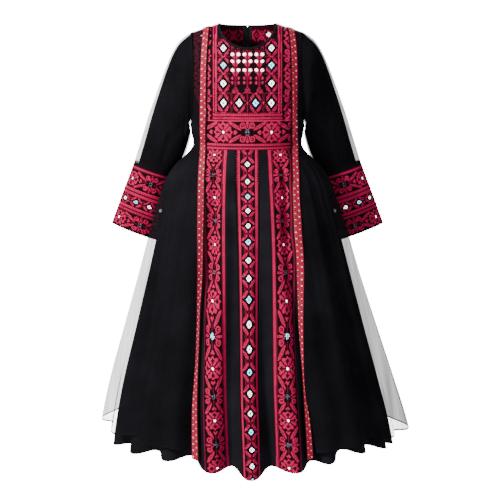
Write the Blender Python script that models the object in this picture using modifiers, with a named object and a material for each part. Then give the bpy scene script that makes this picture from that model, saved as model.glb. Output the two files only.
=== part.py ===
"""Two-layer abaya: a printed black dress with a sheer open-front overlay.

Metres, +Z up. The front faces -Y. The origin is midway between the two neck points,
where the wearer's shoulders carry the garment. Heights are given as "down", the distance
below that origin.
"""
import math

import bmesh
import bpy
import numpy as np
from mathutils import Matrix, Vector

# Driving sizes
NECK_HALF = 0.078            # neck point to centre front
FRONT_NECK_DROP = 0.065
BACK_NECK_DROP = 0.008
SHOULDER_HALF = 0.148        # end of the shoulder seam
SHOULDER_DROP = 0.024
FRONT_ROUNDING = 0.13        # how far the chest takes to round away under the shoulder seam
BACK_ROUNDING = 0.10
BAND_TOP = 0.249             # upper seam of the waist band
ARMPIT = 0.257
SHEER_ARMPIT = 0.270         # the overlay's armhole is a little deeper
WAIST = 0.328                # waist seam
SEAM = 0.0003                # gap between sewn pieces
STRIP_HALF = 0.032           # printed centre strip of the skirt
ZIP_SLIT = 0.0015            # half of the opening that the zip closes
TAPE_WIDTH = 0.0122
TAPE_EDGE = 0.0006
FACING_EDGE = 0.0134

# Wall thicknesses and the depths at which the layers lie, measured out from the dress
DRESS_WALL = 0.0015
SHEER_WALL = 0.0012
CUFF_WALL = 0.0020
SHEER_CLEAR_TOP = 0.0018
SHEER_CLEAR_HEM = 0.0075
SHEER_CLEAR_FULL = 0.80      # the space has reached its full size here
TRIM_WALL = 0.0012
TRIM_EDGE = 0.0025           # plain edge left beside the ribbon
TRIM_WIDTH = 0.0176
LINING_CLEAR = 0.0004
LINING_WALL = 0.0010


def table(columns, rows):
    """A short table as a dict of arrays, one for each named column."""
    return {name: np.array([row[i] for row in rows], float) for i, name in enumerate(columns)}


def read(source, column, at):
    """Value of a column at a smooth position along the table's first column."""
    names = list(source)
    along, values = source[names[0]], source[column]
    slopes = np.gradient(values, along)
    at = np.clip(np.asarray(at, float), along[0], along[-1])
    i = np.clip(np.searchsorted(along, at) - 1, 0, len(along) - 2)
    step = along[i + 1] - along[i]
    t = (at - along[i]) / step
    return ((2 * t**3 - 3 * t**2 + 1) * values[i] + (t**3 - 2 * t**2 + t) * step * slopes[i]
            + (3 * t**2 - 2 * t**3) * values[i + 1] + (t**3 - t**2) * step * slopes[i + 1])


def smooth(t):
    t = np.clip(t, 0, 1)
    return t * t * (3 - 2 * t)


# Rings of the dress from shoulders to hem, before its folds
BODY = table(("down", "half_width", "front", "back"), (
    (0.000, 0.1820, 0.080, 0.085),
    (0.060, 0.1800, 0.083, 0.092),
    (0.140, 0.1710, 0.086, 0.097),
    (0.200, 0.1620, 0.087, 0.097),
    (0.257, 0.1520, 0.086, 0.094),
    (0.290, 0.1440, 0.085, 0.091),
    (0.328, 0.1375, 0.084, 0.089),
    (0.336, 0.1440, 0.086, 0.094),
    (0.349, 0.1600, 0.089, 0.101),
    (0.372, 0.1850, 0.095, 0.112),
    (0.409, 0.2080, 0.104, 0.126),
    (0.470, 0.2240, 0.118, 0.142),
    (0.530, 0.2390, 0.131, 0.155),
    (0.590, 0.2525, 0.145, 0.166),
    (0.700, 0.2770, 0.172, 0.184),
    (0.840, 0.3090, 0.203, 0.205),
    (0.950, 0.3345, 0.226, 0.222),
    (1.080, 0.3605, 0.248, 0.244),
    (1.200, 0.3765, 0.265, 0.260),
))

# Half-width of front and back at the armhole edge of each layer
ARMHOLES = {
    "dress": table(("down", "half_width"), (
        (0.024, 0.1480), (0.060, 0.1455), (0.140, 0.1445), (0.200, 0.1475), (0.257, 0.1520))),
    "sheer": table(("down", "half_width"), (
        (0.024, 0.1480), (0.060, 0.1455), (0.140, 0.1445), (0.200, 0.1462), (0.249, 0.1475),
        (0.270, 0.1490))),
}
ARMPITS = {"dress": ARMPIT, "sheer": SHEER_ARMPIT}

# Seam from the armhole down the printed front panel
PRINCESS = table(("down", "half_width"), (
    (0.165, 0.1460), (0.210, 0.1290), (0.249, 0.1210), (0.290, 0.1190), (0.328, 0.1180)))

# The garment hangs a little to one side lower down
DRIFT = table(("down", "x"), (
    (0.400, 0.000), (0.600, 0.003), (0.800, 0.005), (0.970, 0.007), (1.080, 0.011), (1.200, 0.015)))

# Hem height all round, angle 0 at centre front and positive to the garment's +X side
DRESS_HEM = table(("angle", "down"), (
    (-180, 1.150), (-135, 1.146), (-90, 1.136), (-65, 1.132), (-45, 1.130), (-27, 1.133),
    (-17, 1.146), (0, 1.152), (17, 1.147), (26, 1.144), (35, 1.133), (45, 1.124), (60, 1.127),
    (90, 1.147), (135, 1.152), (180, 1.150)))
SHEER_HEM = table(("angle", "down"), (
    (-180, 1.085), (-135, 1.080), (-90, 1.078), (-60, 1.086), (-45, 1.092), (-30, 1.104),
    (-22, 1.122), (-16, 1.142), (16, 1.142), (22, 1.124), (30, 1.108), (45, 1.096),
    (60, 1.096), (90, 1.102), (135, 1.090), (180, 1.085)))
CENTRE_DIP = 0.012           # the centre strip hangs lower than its neighbours
DIP_WIDTH = 9.0
HEM_FOLLOWS_FOLD = 0.3

# Folds of the skirt: a ridge where depth is positive, a trough where it is negative
DRESS_FOLDS = table(("angle", "width", "depth", "starts"), (
    (-176, 10, 0.024, 0.42), (-164, 9, -0.020, 0.46), (-152, 10, 0.022, 0.40),
    (-140, 9, -0.022, 0.50), (-128, 10, 0.024, 0.38), (-116, 10, -0.020, 0.45),
    (-104, 10, 0.020, 0.40), (-92, 10, -0.016, 0.55), (-80, 10, 0.018, 0.42),
    (-68, 9, -0.018, 0.48), (-57, 9, 0.018, 0.40), (-46, 8, -0.020, 0.44),
    (-36.5, 8, 0.020, 0.40), (-27, 7, -0.024, 0.42), (-17, 8, 0.024, 0.38),
    (-8.5, 6, -0.020, 0.42), (-1, 8, 0.022, 0.40), (7.5, 6, -0.020, 0.44),
    (17.5, 8, 0.024, 0.40), (26, 6.5, -0.021, 0.42), (33, 6.5, 0.018, 0.42),
    (42, 7.5, -0.022, 0.46), (51, 8, 0.018, 0.40), (60, 8, -0.018, 0.52),
    (70, 9, 0.018, 0.42), (81, 10, -0.018, 0.46), (92, 10, 0.020, 0.44),
    (104, 10, -0.018, 0.50), (116, 10, 0.022, 0.40), (128, 10, -0.022, 0.46),
    (140, 10, 0.024, 0.42), (151, 9, -0.020, 0.50), (162, 9, 0.020, 0.40),
    (173, 8, -0.016, 0.48)))

# Folds of the overlay, looser and in other places
SHEER_FOLDS = table(("angle", "width", "depth", "starts"), (
    (-170, 10, 0.014, 0.34), (-157, 9, -0.012, 0.42), (-144, 11, 0.016, 0.36),
    (-130, 10, -0.013, 0.40), (-117, 10, 0.015, 0.34), (-105, 9, -0.012, 0.46),
    (-92, 11, 0.016, 0.40), (-78, 9, -0.013, 0.42), (-66, 9, 0.014, 0.36),
    (-55, 8, -0.012, 0.44), (-45, 7, 0.012, 0.38),
    (45, 8, 0.012, 0.38), (56, 8, -0.012, 0.42), (67, 9, 0.014, 0.36),
    (79, 9, -0.012, 0.46), (92, 24, 0.020, 0.55), (94, 11, 0.014, 0.40),
    (108, 10, -0.013, 0.42), (121, 10, 0.015, 0.36), (134, 10, -0.013, 0.44),
    (147, 11, 0.016, 0.38), (160, 9, -0.012, 0.42), (172, 9, 0.012, 0.36)))

# Overlay: how far it stands off the dress at the sides, and where its front edge falls
SHEER = table(("down", "flare", "front_edge"), (
    (0.000, 0.000, 0.0880), (0.040, 0.000, 0.0940), (0.110, 0.000, 0.1020),
    (0.200, 0.000, 0.1050), (0.257, 0.001, 0.1055), (0.300, 0.005, 0.1060),
    (0.328, 0.009, 0.1060), (0.349, 0.004, 0.1062), (0.372, 0.004, 0.1068),
    (0.409, 0.006, 0.1080), (0.470, 0.011, 0.1095), (0.530, 0.014, 0.1115),
    (0.613, 0.016, 0.1150), (0.750, 0.020, 0.1200), (0.880, 0.025, 0.1225),
    (1.020, 0.030, 0.1240), (1.160, 0.034, 0.1230)))
FLARE_AT_FRONT = 0.55        # share of the flare that reaches the front
BRIDGE_DEGREES = 14.0        # the overlay leaves the skirt's folds this far from its edge

# Sleeves: outer and inner line of the arm, with the middle and half-depth of each ring
SLEEVE = table(("along", "outer_x", "outer_down", "inner_x", "inner_down", "y", "half_depth"), (
    (0.00, 0.1480, 0.024, 0.1520, 0.257, 0.000, 0.046),
    (0.10, 0.1770, 0.043, 0.1555, 0.270, 0.004, 0.050),
    (0.20, 0.1960, 0.067, 0.1590, 0.284, 0.012, 0.052),
    (0.30, 0.2113, 0.096, 0.1630, 0.300, 0.022, 0.052),
    (0.44, 0.2395, 0.165, 0.1710, 0.330, 0.040, 0.048),
    (0.58, 0.2700, 0.247, 0.1830, 0.364, 0.059, 0.043),
    (0.66, 0.2915, 0.313, 0.1950, 0.390, 0.070, 0.039),
    (0.74, 0.3120, 0.377, 0.2070, 0.415, 0.080, 0.036),
    (0.87, 0.3450, 0.462, 0.2270, 0.507, 0.096, 0.035),
    (1.00, 0.3770, 0.547, 0.2470, 0.597, 0.108, 0.034)))
CUFF_TOP = 0.74
INNER_SLEEVE_END = 0.79
# How far the dress sleeve lies inside the overlay sleeve, at the outer line and elsewhere
SLEEVE_EASE = table(("along", "outer", "round"), (
    (0.00, 0.0000, 0.0000), (0.05, 0.0035, 0.0050), (0.12, 0.0055, 0.0068),
    (0.20, 0.0065, 0.0070), (0.30, 0.0080, 0.0068), (0.44, 0.0100, 0.0064),
    (0.58, 0.0120, 0.0060), (0.80, 0.0125, 0.0060)))
ARMHOLE_BLEND = 0.25         # the armhole's own shape has gone by here

BLACK = (0.011, 0.011, 0.014)
SHEER_BLACK = (0.030, 0.030, 0.034)
CRIMSON = (0.40, 0.03, 0.075)
RIBBON = (0.45, 0.06, 0.06)
METAL = (0.30, 0.30, 0.31)

STEP = 1e-5                  # for slopes taken by differences


def shoulder_down(x):
    """Height of the shoulder line, carried on through the neck."""
    return SHOULDER_DROP * (np.abs(x) - NECK_HALF) / (SHOULDER_HALF - NECK_HALF)


def top_down(face, x):
    """Upper edge of front (-1) or back (+1): neckline, then shoulder seam."""
    drop = FRONT_NECK_DROP if face < 0 else BACK_NECK_DROP
    inside = np.sqrt(np.clip(1 - (x / NECK_HALF)**2, 0, 1))
    return np.where(np.abs(x) < NECK_HALF, drop * inside, shoulder_down(x))


def folds(source, angle, down):
    """Sum of the folds in a table at an angle and a height."""
    total = np.zeros(np.broadcast(angle, down).shape)
    for at, width, depth, starts in zip(*source.values()):
        away = np.abs((angle - at + 180) % 360 - 180) / width
        bell = np.where(away < 1, 0.5 + 0.5 * np.cos(np.pi * np.minimum(away, 1)), 0)
        growth = np.clip((down - starts) / (1.14 - starts), 0, 1.1)
        total = total + depth * bell * growth**1.15
    return total


def all_round(face, u):
    """Angle round the body, 0 at centre front, from a place u across front or back."""
    half_turn = np.degrees(np.arcsin(np.clip(u, -1, 1)))
    if face < 0:
        return half_turn
    return np.where(u >= 0, 180 - half_turn, -180 - half_turn)


def edge_angle(down):
    """Angle at which the overlay's front edge lies."""
    share = read(SHEER, "front_edge", down) / read(BODY, "half_width", down)
    return np.degrees(np.arcsin(np.clip(share, 0, 0.95)))


def standing_off(layer, angle, down):
    """How far a layer lies outside the dress's plain rings."""
    dress = folds(DRESS_FOLDS, angle, down)
    if layer == "dress":
        return dress
    free = smooth((np.abs(angle) - edge_angle(down) - 2) / BRIDGE_DEGREES)
    sideways = np.where(np.abs(angle) > 90, 1, np.sin(np.radians(angle))**2)
    flare = read(SHEER, "flare", down) * (FLARE_AT_FRONT + (1 - FLARE_AT_FRONT) * sideways)
    return (1 - free) * dress + free * (folds(SHEER_FOLDS, angle, down) + flare)


def half_width_at(down, layer="dress"):
    """Half of a layer's width from armhole to armhole, or from side to side below them."""
    armhole_edge = read(ARMHOLES[layer], "half_width", down)
    return np.where(down < ARMPITS[layer], armhole_edge, read(BODY, "half_width", down))


def surface(layer, face, u, down):
    """Point of the dress or the overlay. u runs from -1 to 1 across front or back."""
    half = read(BODY, "half_width", down)
    edge = half_width_at(down, layer)
    depth = read(BODY, "front" if face < 0 else "back", down)
    x = u * edge
    rounding = FRONT_ROUNDING if face < 0 else BACK_ROUNDING
    fallen = np.clip((down - shoulder_down(x)) / rounding, 0, 1)
    across = np.sqrt(np.clip(1 - (x / half)**2, 0, 1))
    y = face * np.maximum(depth * across * np.sqrt(1 - (1 - fallen)**2), SEAM / 2)
    normal_x, normal_y = x / half**2, face * across / depth
    length = np.hypot(normal_x, normal_y)
    out = standing_off(layer, all_round(face, u), down)
    return np.stack([x + out * normal_x / length + read(DRIFT, "x", down),
                     y + out * normal_y / length, -down], axis=-1)


def cloth(layer, face, u, down, offset):
    """Points a distance outside a layer's surface, along its own normal."""
    u, down = np.broadcast_arrays(np.asarray(u, float), np.asarray(down, float))
    step = np.where(u >= 0, -STEP, STEP)
    point = surface(layer, face, u, down)
    across = (surface(layer, face, u + step, down) - point) / step[..., None]
    downward = surface(layer, face, u, down + STEP) - point
    normal = np.cross(downward, across) * -face
    normal /= np.linalg.norm(normal, axis=-1, keepdims=True)
    return point + normal * np.asarray(offset)[..., None]


def sheer_clear(down):
    """Space between the dress and the overlay's wall."""
    share = smooth((down - WAIST) / (SHEER_CLEAR_FULL - WAIST))
    return SHEER_CLEAR_TOP + (SHEER_CLEAR_HEM - SHEER_CLEAR_TOP) * share


def material(name, colour, roughness, metallic=0.0):
    made = bpy.data.materials.get(name)
    if made is None:
        made = bpy.data.materials.new(name)
        made.use_nodes = True
        shader = made.node_tree.nodes["Principled BSDF"]
        shader.inputs["Base Color"].default_value = (*colour, 1)
        shader.inputs["Roughness"].default_value = roughness
        shader.inputs["Metallic"].default_value = metallic
    return made


def add_object(name, mesh, finish):
    made = bpy.data.objects.new(name, mesh)
    mesh.materials.append(material(*finish))
    bpy.data.collections["abaya"].objects.link(made)
    return made


def wall(name, outer, inner, finish, closed=False):
    """A closed wall between two grids of points, rows down and columns across."""
    rows, columns = outer.shape[:2]
    points = np.concatenate([outer.reshape(-1, 3), inner.reshape(-1, 3)])
    behind = rows * columns
    spans = columns if closed else columns - 1

    def at(row, column):
        return row * columns + column % columns

    faces = []
    for row in range(rows - 1):
        for column in range(spans):
            quad = (at(row, column), at(row + 1, column),
                    at(row + 1, column + 1), at(row, column + 1))
            faces.append(quad)
            faces.append(tuple(i + behind for i in reversed(quad)))
    for column in range(spans):
        first = at(0, column), at(0, column + 1)
        last = at(rows - 1, column), at(rows - 1, column + 1)
        faces.append((first[0], first[1], first[1] + behind, first[0] + behind))
        faces.append((last[1], last[0], last[0] + behind, last[1] + behind))
    if not closed:
        for row in range(rows - 1):
            left = at(row, 0), at(row + 1, 0)
            right = at(row, columns - 1), at(row + 1, columns - 1)
            faces.append((left[1], left[0], left[0] + behind, left[1] + behind))
            faces.append((right[0], right[1], right[1] + behind, right[0] + behind))
    mesh = bpy.data.meshes.new(name)
    mesh.from_pydata([tuple(map(float, p)) for p in points], [], faces)
    shape = bmesh.new()
    shape.from_mesh(mesh)
    bmesh.ops.recalc_face_normals(shape, faces=shape.faces)
    bmesh.ops.triangulate(shape, faces=shape.faces)
    shape.to_mesh(mesh)
    shape.free()
    mesh.shade_smooth()
    mesh.set_sharp_from_angle(angle=math.radians(50))
    return add_object(name, mesh, finish)


DRESS_CLOTH = ("black_dress_cloth", BLACK, 0.75)
PRINTED_CLOTH = ("printed_dress_cloth", CRIMSON, 0.75)
SHEER_CLOTH = ("black_sheer_cloth", SHEER_BLACK, 0.6)
RIBBON_CLOTH = ("red_gold_ribbon", RIBBON, 0.5)
ZIP_TAPE = ("zip_tape", BLACK, 0.8)
ZIP_METAL = ("zip_metal", METAL, 0.35, 1.0)


def dress_panel(name, face, u, down, finish):
    """A panel of the dress from its grid of places."""
    outer = cloth("dress", face, u, down, 0.0)
    wall(name, outer, cloth("dress", face, u, down, -DRESS_WALL), finish)


def rows_between(top, bottom, shares):
    """Heights from each column's top to its bottom at the given shares."""
    shares = np.asarray(shares)[:, None]
    return top + (bottom - top) * shares


def rows_to_waist(face, u, layer="dress"):
    """Heights of a panel's rows, from its top edge to the waist seam."""
    chest = rows_between(top_down(face, u * SHOULDER_HALF), BAND_TOP, CHEST_ROWS)
    lower = [np.full(len(u), down) for down in (*LOWER_ROWS[layer], WAIST - SEAM / 2)]
    return np.concatenate([chest, lower])


# Shares of the way from a panel's top to the band, closer where the shoulder rounds over
CHEST_ROWS = (0, 0.014, 0.05, 0.12, 0.24, 0.40, 0.56, 0.70, 0.84, 0.93, 1)
SIDE_FIRST_ROW = 7           # the plain side piece starts at this row
LOWER_ROWS = {"dress": (ARMPIT, 0.290), "sheer": (SHEER_ARMPIT, 0.297)}
NECK_COLUMNS = 5
SHOULDER_COLUMNS = (0.3, 0.55, 0.8, 1)


def neck_columns():
    """Places across from centre to shoulder end, rounding the neckline evenly."""
    turn = np.linspace(0, math.pi / 2, NECK_COLUMNS + 1)
    neck = NECK_HALF * np.sin(turn)
    shoulder = [NECK_HALF + (SHOULDER_HALF - NECK_HALF) * share for share in SHOULDER_COLUMNS]
    return np.concatenate([neck, shoulder]) / SHOULDER_HALF


def make_bodice_front():
    """Printed front panel, from neckline and shoulders to the waist band."""
    side = neck_columns()
    u = np.concatenate([-side[:0:-1], side])
    down = rows_between(top_down(-1, u * SHOULDER_HALF), BAND_TOP - SEAM / 2, CHEST_ROWS)
    whole = half_width_at(down)
    seam = np.where(down > PRINCESS["down"][0], read(PRINCESS, "half_width", down), whole)
    dress_panel("bodice_front", -1, u * np.minimum(seam, whole) / whole, down, PRINTED_CLOTH)


def make_waist_band():
    u = np.linspace(-1, 1, 13)
    heights = (BAND_TOP + SEAM / 2, *LOWER_ROWS["dress"], WAIST - SEAM / 2)
    down = np.repeat(np.array(heights)[:, None], len(u), axis=1)
    edge = read(PRINCESS, "half_width", down)
    dress_panel("waist_band", -1, u * edge / half_width_at(down), down, PRINTED_CLOTH)


def make_bodice_sides():
    """Plain pieces between the printed panel and the side seam, up to the armhole."""
    down = rows_to_waist(-1, np.ones(4))[SIDE_FIRST_ROW:]
    inner = (read(PRINCESS, "half_width", down) + SEAM) / half_width_at(down)
    outer = 1 - 1e-6
    share = np.array([0, 0.4, 0.75, 1])
    for name, sign in (("left", -1), ("right", 1)):
        u = sign * (inner + (outer - inner) * share)
        order = slice(None, None, sign)
        dress_panel(f"bodice_side_{name}", -1, u[:, order], down[:, order], DRESS_CLOTH)


FACING_ROWS = 5


def back_grid(first, columns):
    """Places and heights of a back panel from a first column across to the armhole."""
    u = np.concatenate([[first / SHOULDER_HALF], columns])
    down = rows_to_waist(1, u)
    return np.broadcast_to(u, down.shape), down


def make_bodice_backs():
    """Backs with the printed neck facing and the zip tape on their inner side."""
    columns = neck_columns()[1:]
    tape_depth = -(DRESS_WALL + LINING_CLEAR)
    for name, sign in (("left", -1), ("right", 1)):
        order = slice(None, None, -sign)
        u, down = back_grid(ZIP_SLIT, np.concatenate([[FACING_EDGE / SHOULDER_HALF], columns]))
        dress_panel(f"bodice_back_{name}", 1, sign * u[:, order], down[:, order], DRESS_CLOTH)

        u, down = back_grid(FACING_EDGE, columns[:NECK_COLUMNS + 1])
        u, down = sign * u[:FACING_ROWS, order], down[:FACING_ROWS, order]
        wall(f"neck_facing_{name}", cloth("dress", 1, u, down, tape_depth),
             cloth("dress", 1, u, down, tape_depth - LINING_WALL), PRINTED_CLOTH)

        u, down = back_grid(TAPE_EDGE, [(TAPE_EDGE + TAPE_WIDTH) / SHOULDER_HALF])
        u, down = sign * u[:, order], down[:, order]
        wall(f"zip_tape_{name}", cloth("dress", 1, u, down, tape_depth),
             cloth("dress", 1, u, down, tape_depth - LINING_WALL), ZIP_TAPE)


BINDING_HEIGHT = 0.0058
BINDING_OUT = 0.0012
BINDING_IN = 0.0017
NECK_AXIS = np.array([0, 0, 0.04])


def make_neck_binding():
    """Band round the neck, standing on the neckline's edge and open at the zip."""
    side = neck_columns()[:NECK_COLUMNS + 1]
    back = np.concatenate([[ZIP_SLIT / SHOULDER_HALF, FACING_EDGE / SHOULDER_HALF], side[1:-1]])
    edges, normals = [], []
    for face, u in ((1, back), (-1, np.concatenate([side[::-1], -side[1:]])), (1, -back[::-1])):
        down = top_down(face, u * SHOULDER_HALF)
        edges.append(cloth("dress", face, u, down, 0.0))
        normals.append(cloth("dress", face, u, down, 1.0) - edges[-1])
    edge, normal = np.concatenate(edges), np.concatenate(normals)
    along = np.gradient(edge, axis=0)
    rise = np.cross(along, normal)
    rise /= np.linalg.norm(rise, axis=-1, keepdims=True)
    rise *= np.sign(np.sum(rise * (NECK_AXIS - edge), axis=-1, keepdims=True))

    def line(height, out):
        return edge + rise * height + normal * out

    outer, inner = [np.stack([line(BINDING_HEIGHT, out), line(SEAM, out)])
                    for out in (BINDING_OUT, -BINDING_IN)]
    wall("neck_binding", outer, inner, DRESS_CLOTH)


SKIRT_ROWS = (0, 0.012, 0.036, 0.075, 0.14, 0.23, 0.35, 0.49, 0.64, 0.79, 0.91, 1)
# Panels of half the skirt from centre front: width at waist and hem, and columns
SKIRT_PANELS = (
    ("godet", 0.021, 0.058, 3),
    ("floral", 0.066, 0.080, 6),
)
SIDE_COLUMNS = 12
BACK_COLUMNS = 13


def skirt_down(angle, share):
    """Height of the skirt at a share of the way from waist to hem."""
    dip = np.where(np.abs(angle) < DIP_WIDTH, 0.5 + 0.5 * np.cos(np.pi * angle / DIP_WIDTH), 0)
    hem = (read(DRESS_HEM, "down", angle) + CENTRE_DIP * dip
           + HEM_FOLLOWS_FOLD * folds(DRESS_FOLDS, angle, np.full_like(angle, 1.14)))
    top = WAIST + SEAM / 2
    return top + (hem - top) * share


def sheer_down(angle, share):
    """Height of the overlay's lower part at a share of the way to its hem."""
    hem = (read(SHEER_HEM, "down", angle)
           + HEM_FOLLOWS_FOLD * folds(SHEER_FOLDS, angle, np.full_like(angle, 1.14)))
    return SHEER_BREAK + (hem - SHEER_BREAK) * share


FINE_PLACES = 1441


def arc_row(layer, face, sign, height, share):
    """Fine places along half a row, with the distance from the centre line to each."""
    turn = np.radians(np.linspace(0, 90, FINE_PLACES))
    u = sign * np.sin(turn)
    down = height(all_round(face, u), share)
    points = surface(layer, face, u, down)
    gone = np.concatenate([[0], np.cumsum(np.linalg.norm(np.diff(points, axis=0), axis=1))])
    return turn, gone


def arc_places(layer, face, sign, height, share, distances):
    """u and height at distances along a row from its centre line."""
    turn, gone = arc_row(layer, face, sign, height, share)
    u = sign * np.sin(np.interp(distances, gone, turn))
    return u, height(all_round(face, u), share)


def skirt_panel(name, face, sign, start, end, columns, finish):
    """Panel between two distances from the centre line, each a function of the row."""
    grid = []
    for share in SKIRT_ROWS:
        whole = arc_row("dress", face, sign, skirt_down, share)[1][-1]
        edges = start(share, whole) + SEAM / 2, end(share, whole) - SEAM / 2
        distances = np.linspace(*edges, columns + 1)
        grid.append(arc_places("dress", face, sign, skirt_down, share, distances))
    u, down = np.array([row[0] for row in grid]), np.array([row[1] for row in grid])
    if sign * face > 0:
        u, down = u[:, ::-1], down[:, ::-1]
    dress_panel(name, face, u, down, finish)


def make_skirt():
    """Printed strip and florals with plain godets between, plain sides and backs."""
    grid = []
    for share in SKIRT_ROWS:
        distances = np.linspace(0, STRIP_HALF - SEAM / 2, 3)
        halves = [arc_places("dress", -1, sign, skirt_down, share, distances) for sign in (-1, 1)]
        grid.append([np.concatenate([halves[0][i][:0:-1], halves[1][i]]) for i in (0, 1)])
    grid = np.array(grid)
    dress_panel("skirt_centre", -1, grid[:, 0], grid[:, 1], PRINTED_CLOTH)

    for side, sign in (("left", -1), ("right", 1)):
        inner = [STRIP_HALF, STRIP_HALF]
        for name, at_waist, at_hem, columns in SKIRT_PANELS:
            outer = [inner[0] + at_waist, inner[1] + at_hem]
            finish = PRINTED_CLOTH if name == "floral" else DRESS_CLOTH
            skirt_panel(f"skirt_{name}_{side}", -1, sign, between(*inner), between(*outer),
                        columns, finish)
            inner = outer
        skirt_panel(f"skirt_side_{side}", -1, sign, between(*inner), whole_row,
                    SIDE_COLUMNS, DRESS_CLOTH)
        skirt_panel(f"skirt_back_{side}", 1, sign, between(0, 0), whole_row,
                    BACK_COLUMNS, DRESS_CLOTH)


def between(at_waist, at_hem):
    return lambda share, whole: at_waist + (at_hem - at_waist) * share


def whole_row(share, whole):
    return whole


# Overlay: rows from the shoulder to the break below the waist, then on to the hem
SHEER_BREAK = 0.409
SHEER_MIDDLE = (*LOWER_ROWS["sheer"], 0.328, 0.344, 0.372)
SHEER_LOWER = (0, 0.13, 0.28, 0.45, 0.63, 0.80, 0.91, 1)
SHEER_COLUMNS = 10


def sheer_rows(face):
    """For each row a function from an angle to a height."""
    for share in CHEST_ROWS:
        yield lambda angle, _, share=share: (
            top_down(face, np.abs(np.sin(np.radians(angle))) * SHOULDER_HALF) * (1 - share)
            + BAND_TOP * share)
    for down in SHEER_MIDDLE:
        yield lambda angle, _, down=down: np.full_like(angle, down)
    for share in SHEER_LOWER:
        yield lambda angle, _, share=share: sheer_down(angle, share)


def edge_distance(gone, turn, down, wanted):
    """Distance along a row at which the cloth reaches a place across the body."""
    across = np.sin(turn) * half_width_at(down, "sheer")
    return np.interp(wanted, across, gone)


def make_overlay():
    """Open-front overlay: fronts with the ribbon on them, and backs."""
    trim_columns = np.array([0, TRIM_EDGE, TRIM_EDGE + TRIM_WIDTH / 2, TRIM_EDGE + TRIM_WIDTH])
    for side, sign in (("left", -1), ("right", 1)):
        for part, face in (("front", -1), ("back", 1)):
            grid = []
            for height in sheer_rows(face):
                turn, gone = arc_row("sheer", face, sign, height, 0)
                if face < 0:
                    down = height(all_round(face, sign * np.sin(turn)), 0)
                    start = edge_distance(gone, turn, down, read(SHEER, "front_edge", down[0]))
                    first = start + trim_columns
                else:
                    above_waist = height(np.array([180.0]), 0)[0] < WAIST
                    first = np.array([ZIP_SLIT if above_waist else SEAM / 2])
                rest = np.linspace(first[-1], gone[-1] - SEAM / 2, SHEER_COLUMNS + 1)[1:]
                grid.append(arc_places("sheer", face, sign, height, 0, np.concatenate([first, rest])))
            u, down = np.array([row[0] for row in grid]), np.array([row[1] for row in grid])
            order = slice(None, None, -sign * face)
            inside = sheer_clear(down)
            outer = cloth("sheer", face, u, down, inside + SHEER_WALL)[:, order]
            wall(f"overlay_{part}_{side}", outer, cloth("sheer", face, u, down, inside)[:, order],
                 SHEER_CLOTH)
            if face < 0:
                u, down, inside = u[:, 1:4], down[:, 1:4], inside[:, 1:4] + SHEER_WALL + SEAM
                wall(f"trim_{side}", cloth("sheer", face, u, down, inside + TRIM_WALL)[:, order],
                     cloth("sheer", face, u, down, inside)[:, order], RIBBON_CLOTH)


def armhole_turns(layer):
    """Turns of a sleeve that meet the rows of the panels at the armhole."""
    down = rows_to_waist(-1, np.ones(1), layer)[:len(CHEST_ROWS) + 1, 0]
    reach = (ARMPITS[layer] - SHOULDER_DROP) / 2
    half = np.arccos(np.clip(1 - (down - SHOULDER_DROP) / reach, -1, 1))
    return np.concatenate([half, 2 * math.pi - half[-2:0:-1]])


def armhole(layer, turn, offset):
    """Edge of the armhole at a turn of the sleeve, 0 at the shoulder and pi at the armpit."""
    middle, reach = (SHOULDER_DROP + ARMPITS[layer]) / 2, (ARMPITS[layer] - SHOULDER_DROP) / 2
    down = middle - reach * np.cos(turn)
    front = cloth(layer, -1, np.ones_like(turn), down, offset)
    back = cloth(layer, 1, np.ones_like(turn), down, offset)
    edge = np.where((np.sin(turn) < 0)[..., None], front, back)
    past_armpit = smooth((np.abs(math.pi - turn) - UNDERARM) / -UNDERARM)
    edge[..., 0] += SEAM + LAYER_WALLS[layer] * past_armpit
    return edge


def sleeve_point(layer, along, turn):
    """Point of a right sleeve. turn is 0 on the outer line and pi on the inner line."""
    outer = np.stack([read(SLEEVE, "outer_x", along), -read(SLEEVE, "outer_down", along)], axis=-1)
    inner = np.stack([read(SLEEVE, "inner_x", along), -read(SLEEVE, "inner_down", along)], axis=-1)
    depth = read(SLEEVE, "half_depth", along)
    if layer == "dress":
        span = outer - inner
        span /= np.linalg.norm(span, axis=-1, keepdims=True)
        outer = outer - span * read(SLEEVE_EASE, "outer", along)[..., None]
        inner = inner + span * read(SLEEVE_EASE, "round", along)[..., None]
        depth = depth - read(SLEEVE_EASE, "round", along)
    ring = (outer + inner) / 2 + (outer - inner) / 2 * np.cos(turn)[..., None]
    y = read(SLEEVE, "y", along) + depth * np.sin(turn)
    return np.stack([ring[..., 0], y, ring[..., 1]], axis=-1)


def set_in(layer, along, turn):
    """Point of a sleeve that starts from its armhole's own shape."""
    offset = 0.0 if layer == "dress" else SHEER_CLEAR_TOP + SHEER_WALL
    start = sleeve_point(layer, np.zeros_like(along), turn)
    own = armhole(layer, turn, offset) - start
    return sleeve_point(layer, along, turn) + own * (1 - smooth(along / ARMHOLE_BLEND))[..., None]


def sleeve_grid(layer, rows, offset):
    """Ring by ring grid of a right sleeve, offset along its normals."""
    along, turn = np.meshgrid(np.asarray(rows, float), armhole_turns(layer), indexing="ij")
    point = set_in(layer, along, turn)
    round_it = set_in(layer, along, turn + 1e-4) - set_in(layer, along, turn - 1e-4)
    step = np.where(along < 0.5, 1e-4, -1e-4)
    down_it = set_in(layer, along + step, turn) - point
    normal = np.cross(round_it, down_it)
    normal /= np.linalg.norm(normal, axis=-1, keepdims=True)
    middle = set_in(layer, along, turn + math.pi)
    normal *= np.sign(np.sum(normal * (point - middle), axis=-1, keepdims=True))
    panel = armhole(layer, turn, 1.0) - armhole(layer, turn, 0.0)
    share = smooth(along / NORMAL_BLEND)[..., None]
    normal = normal * share + panel * (1 - share)
    normal /= np.linalg.norm(normal, axis=-1, keepdims=True)
    return point + normal * offset


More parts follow.
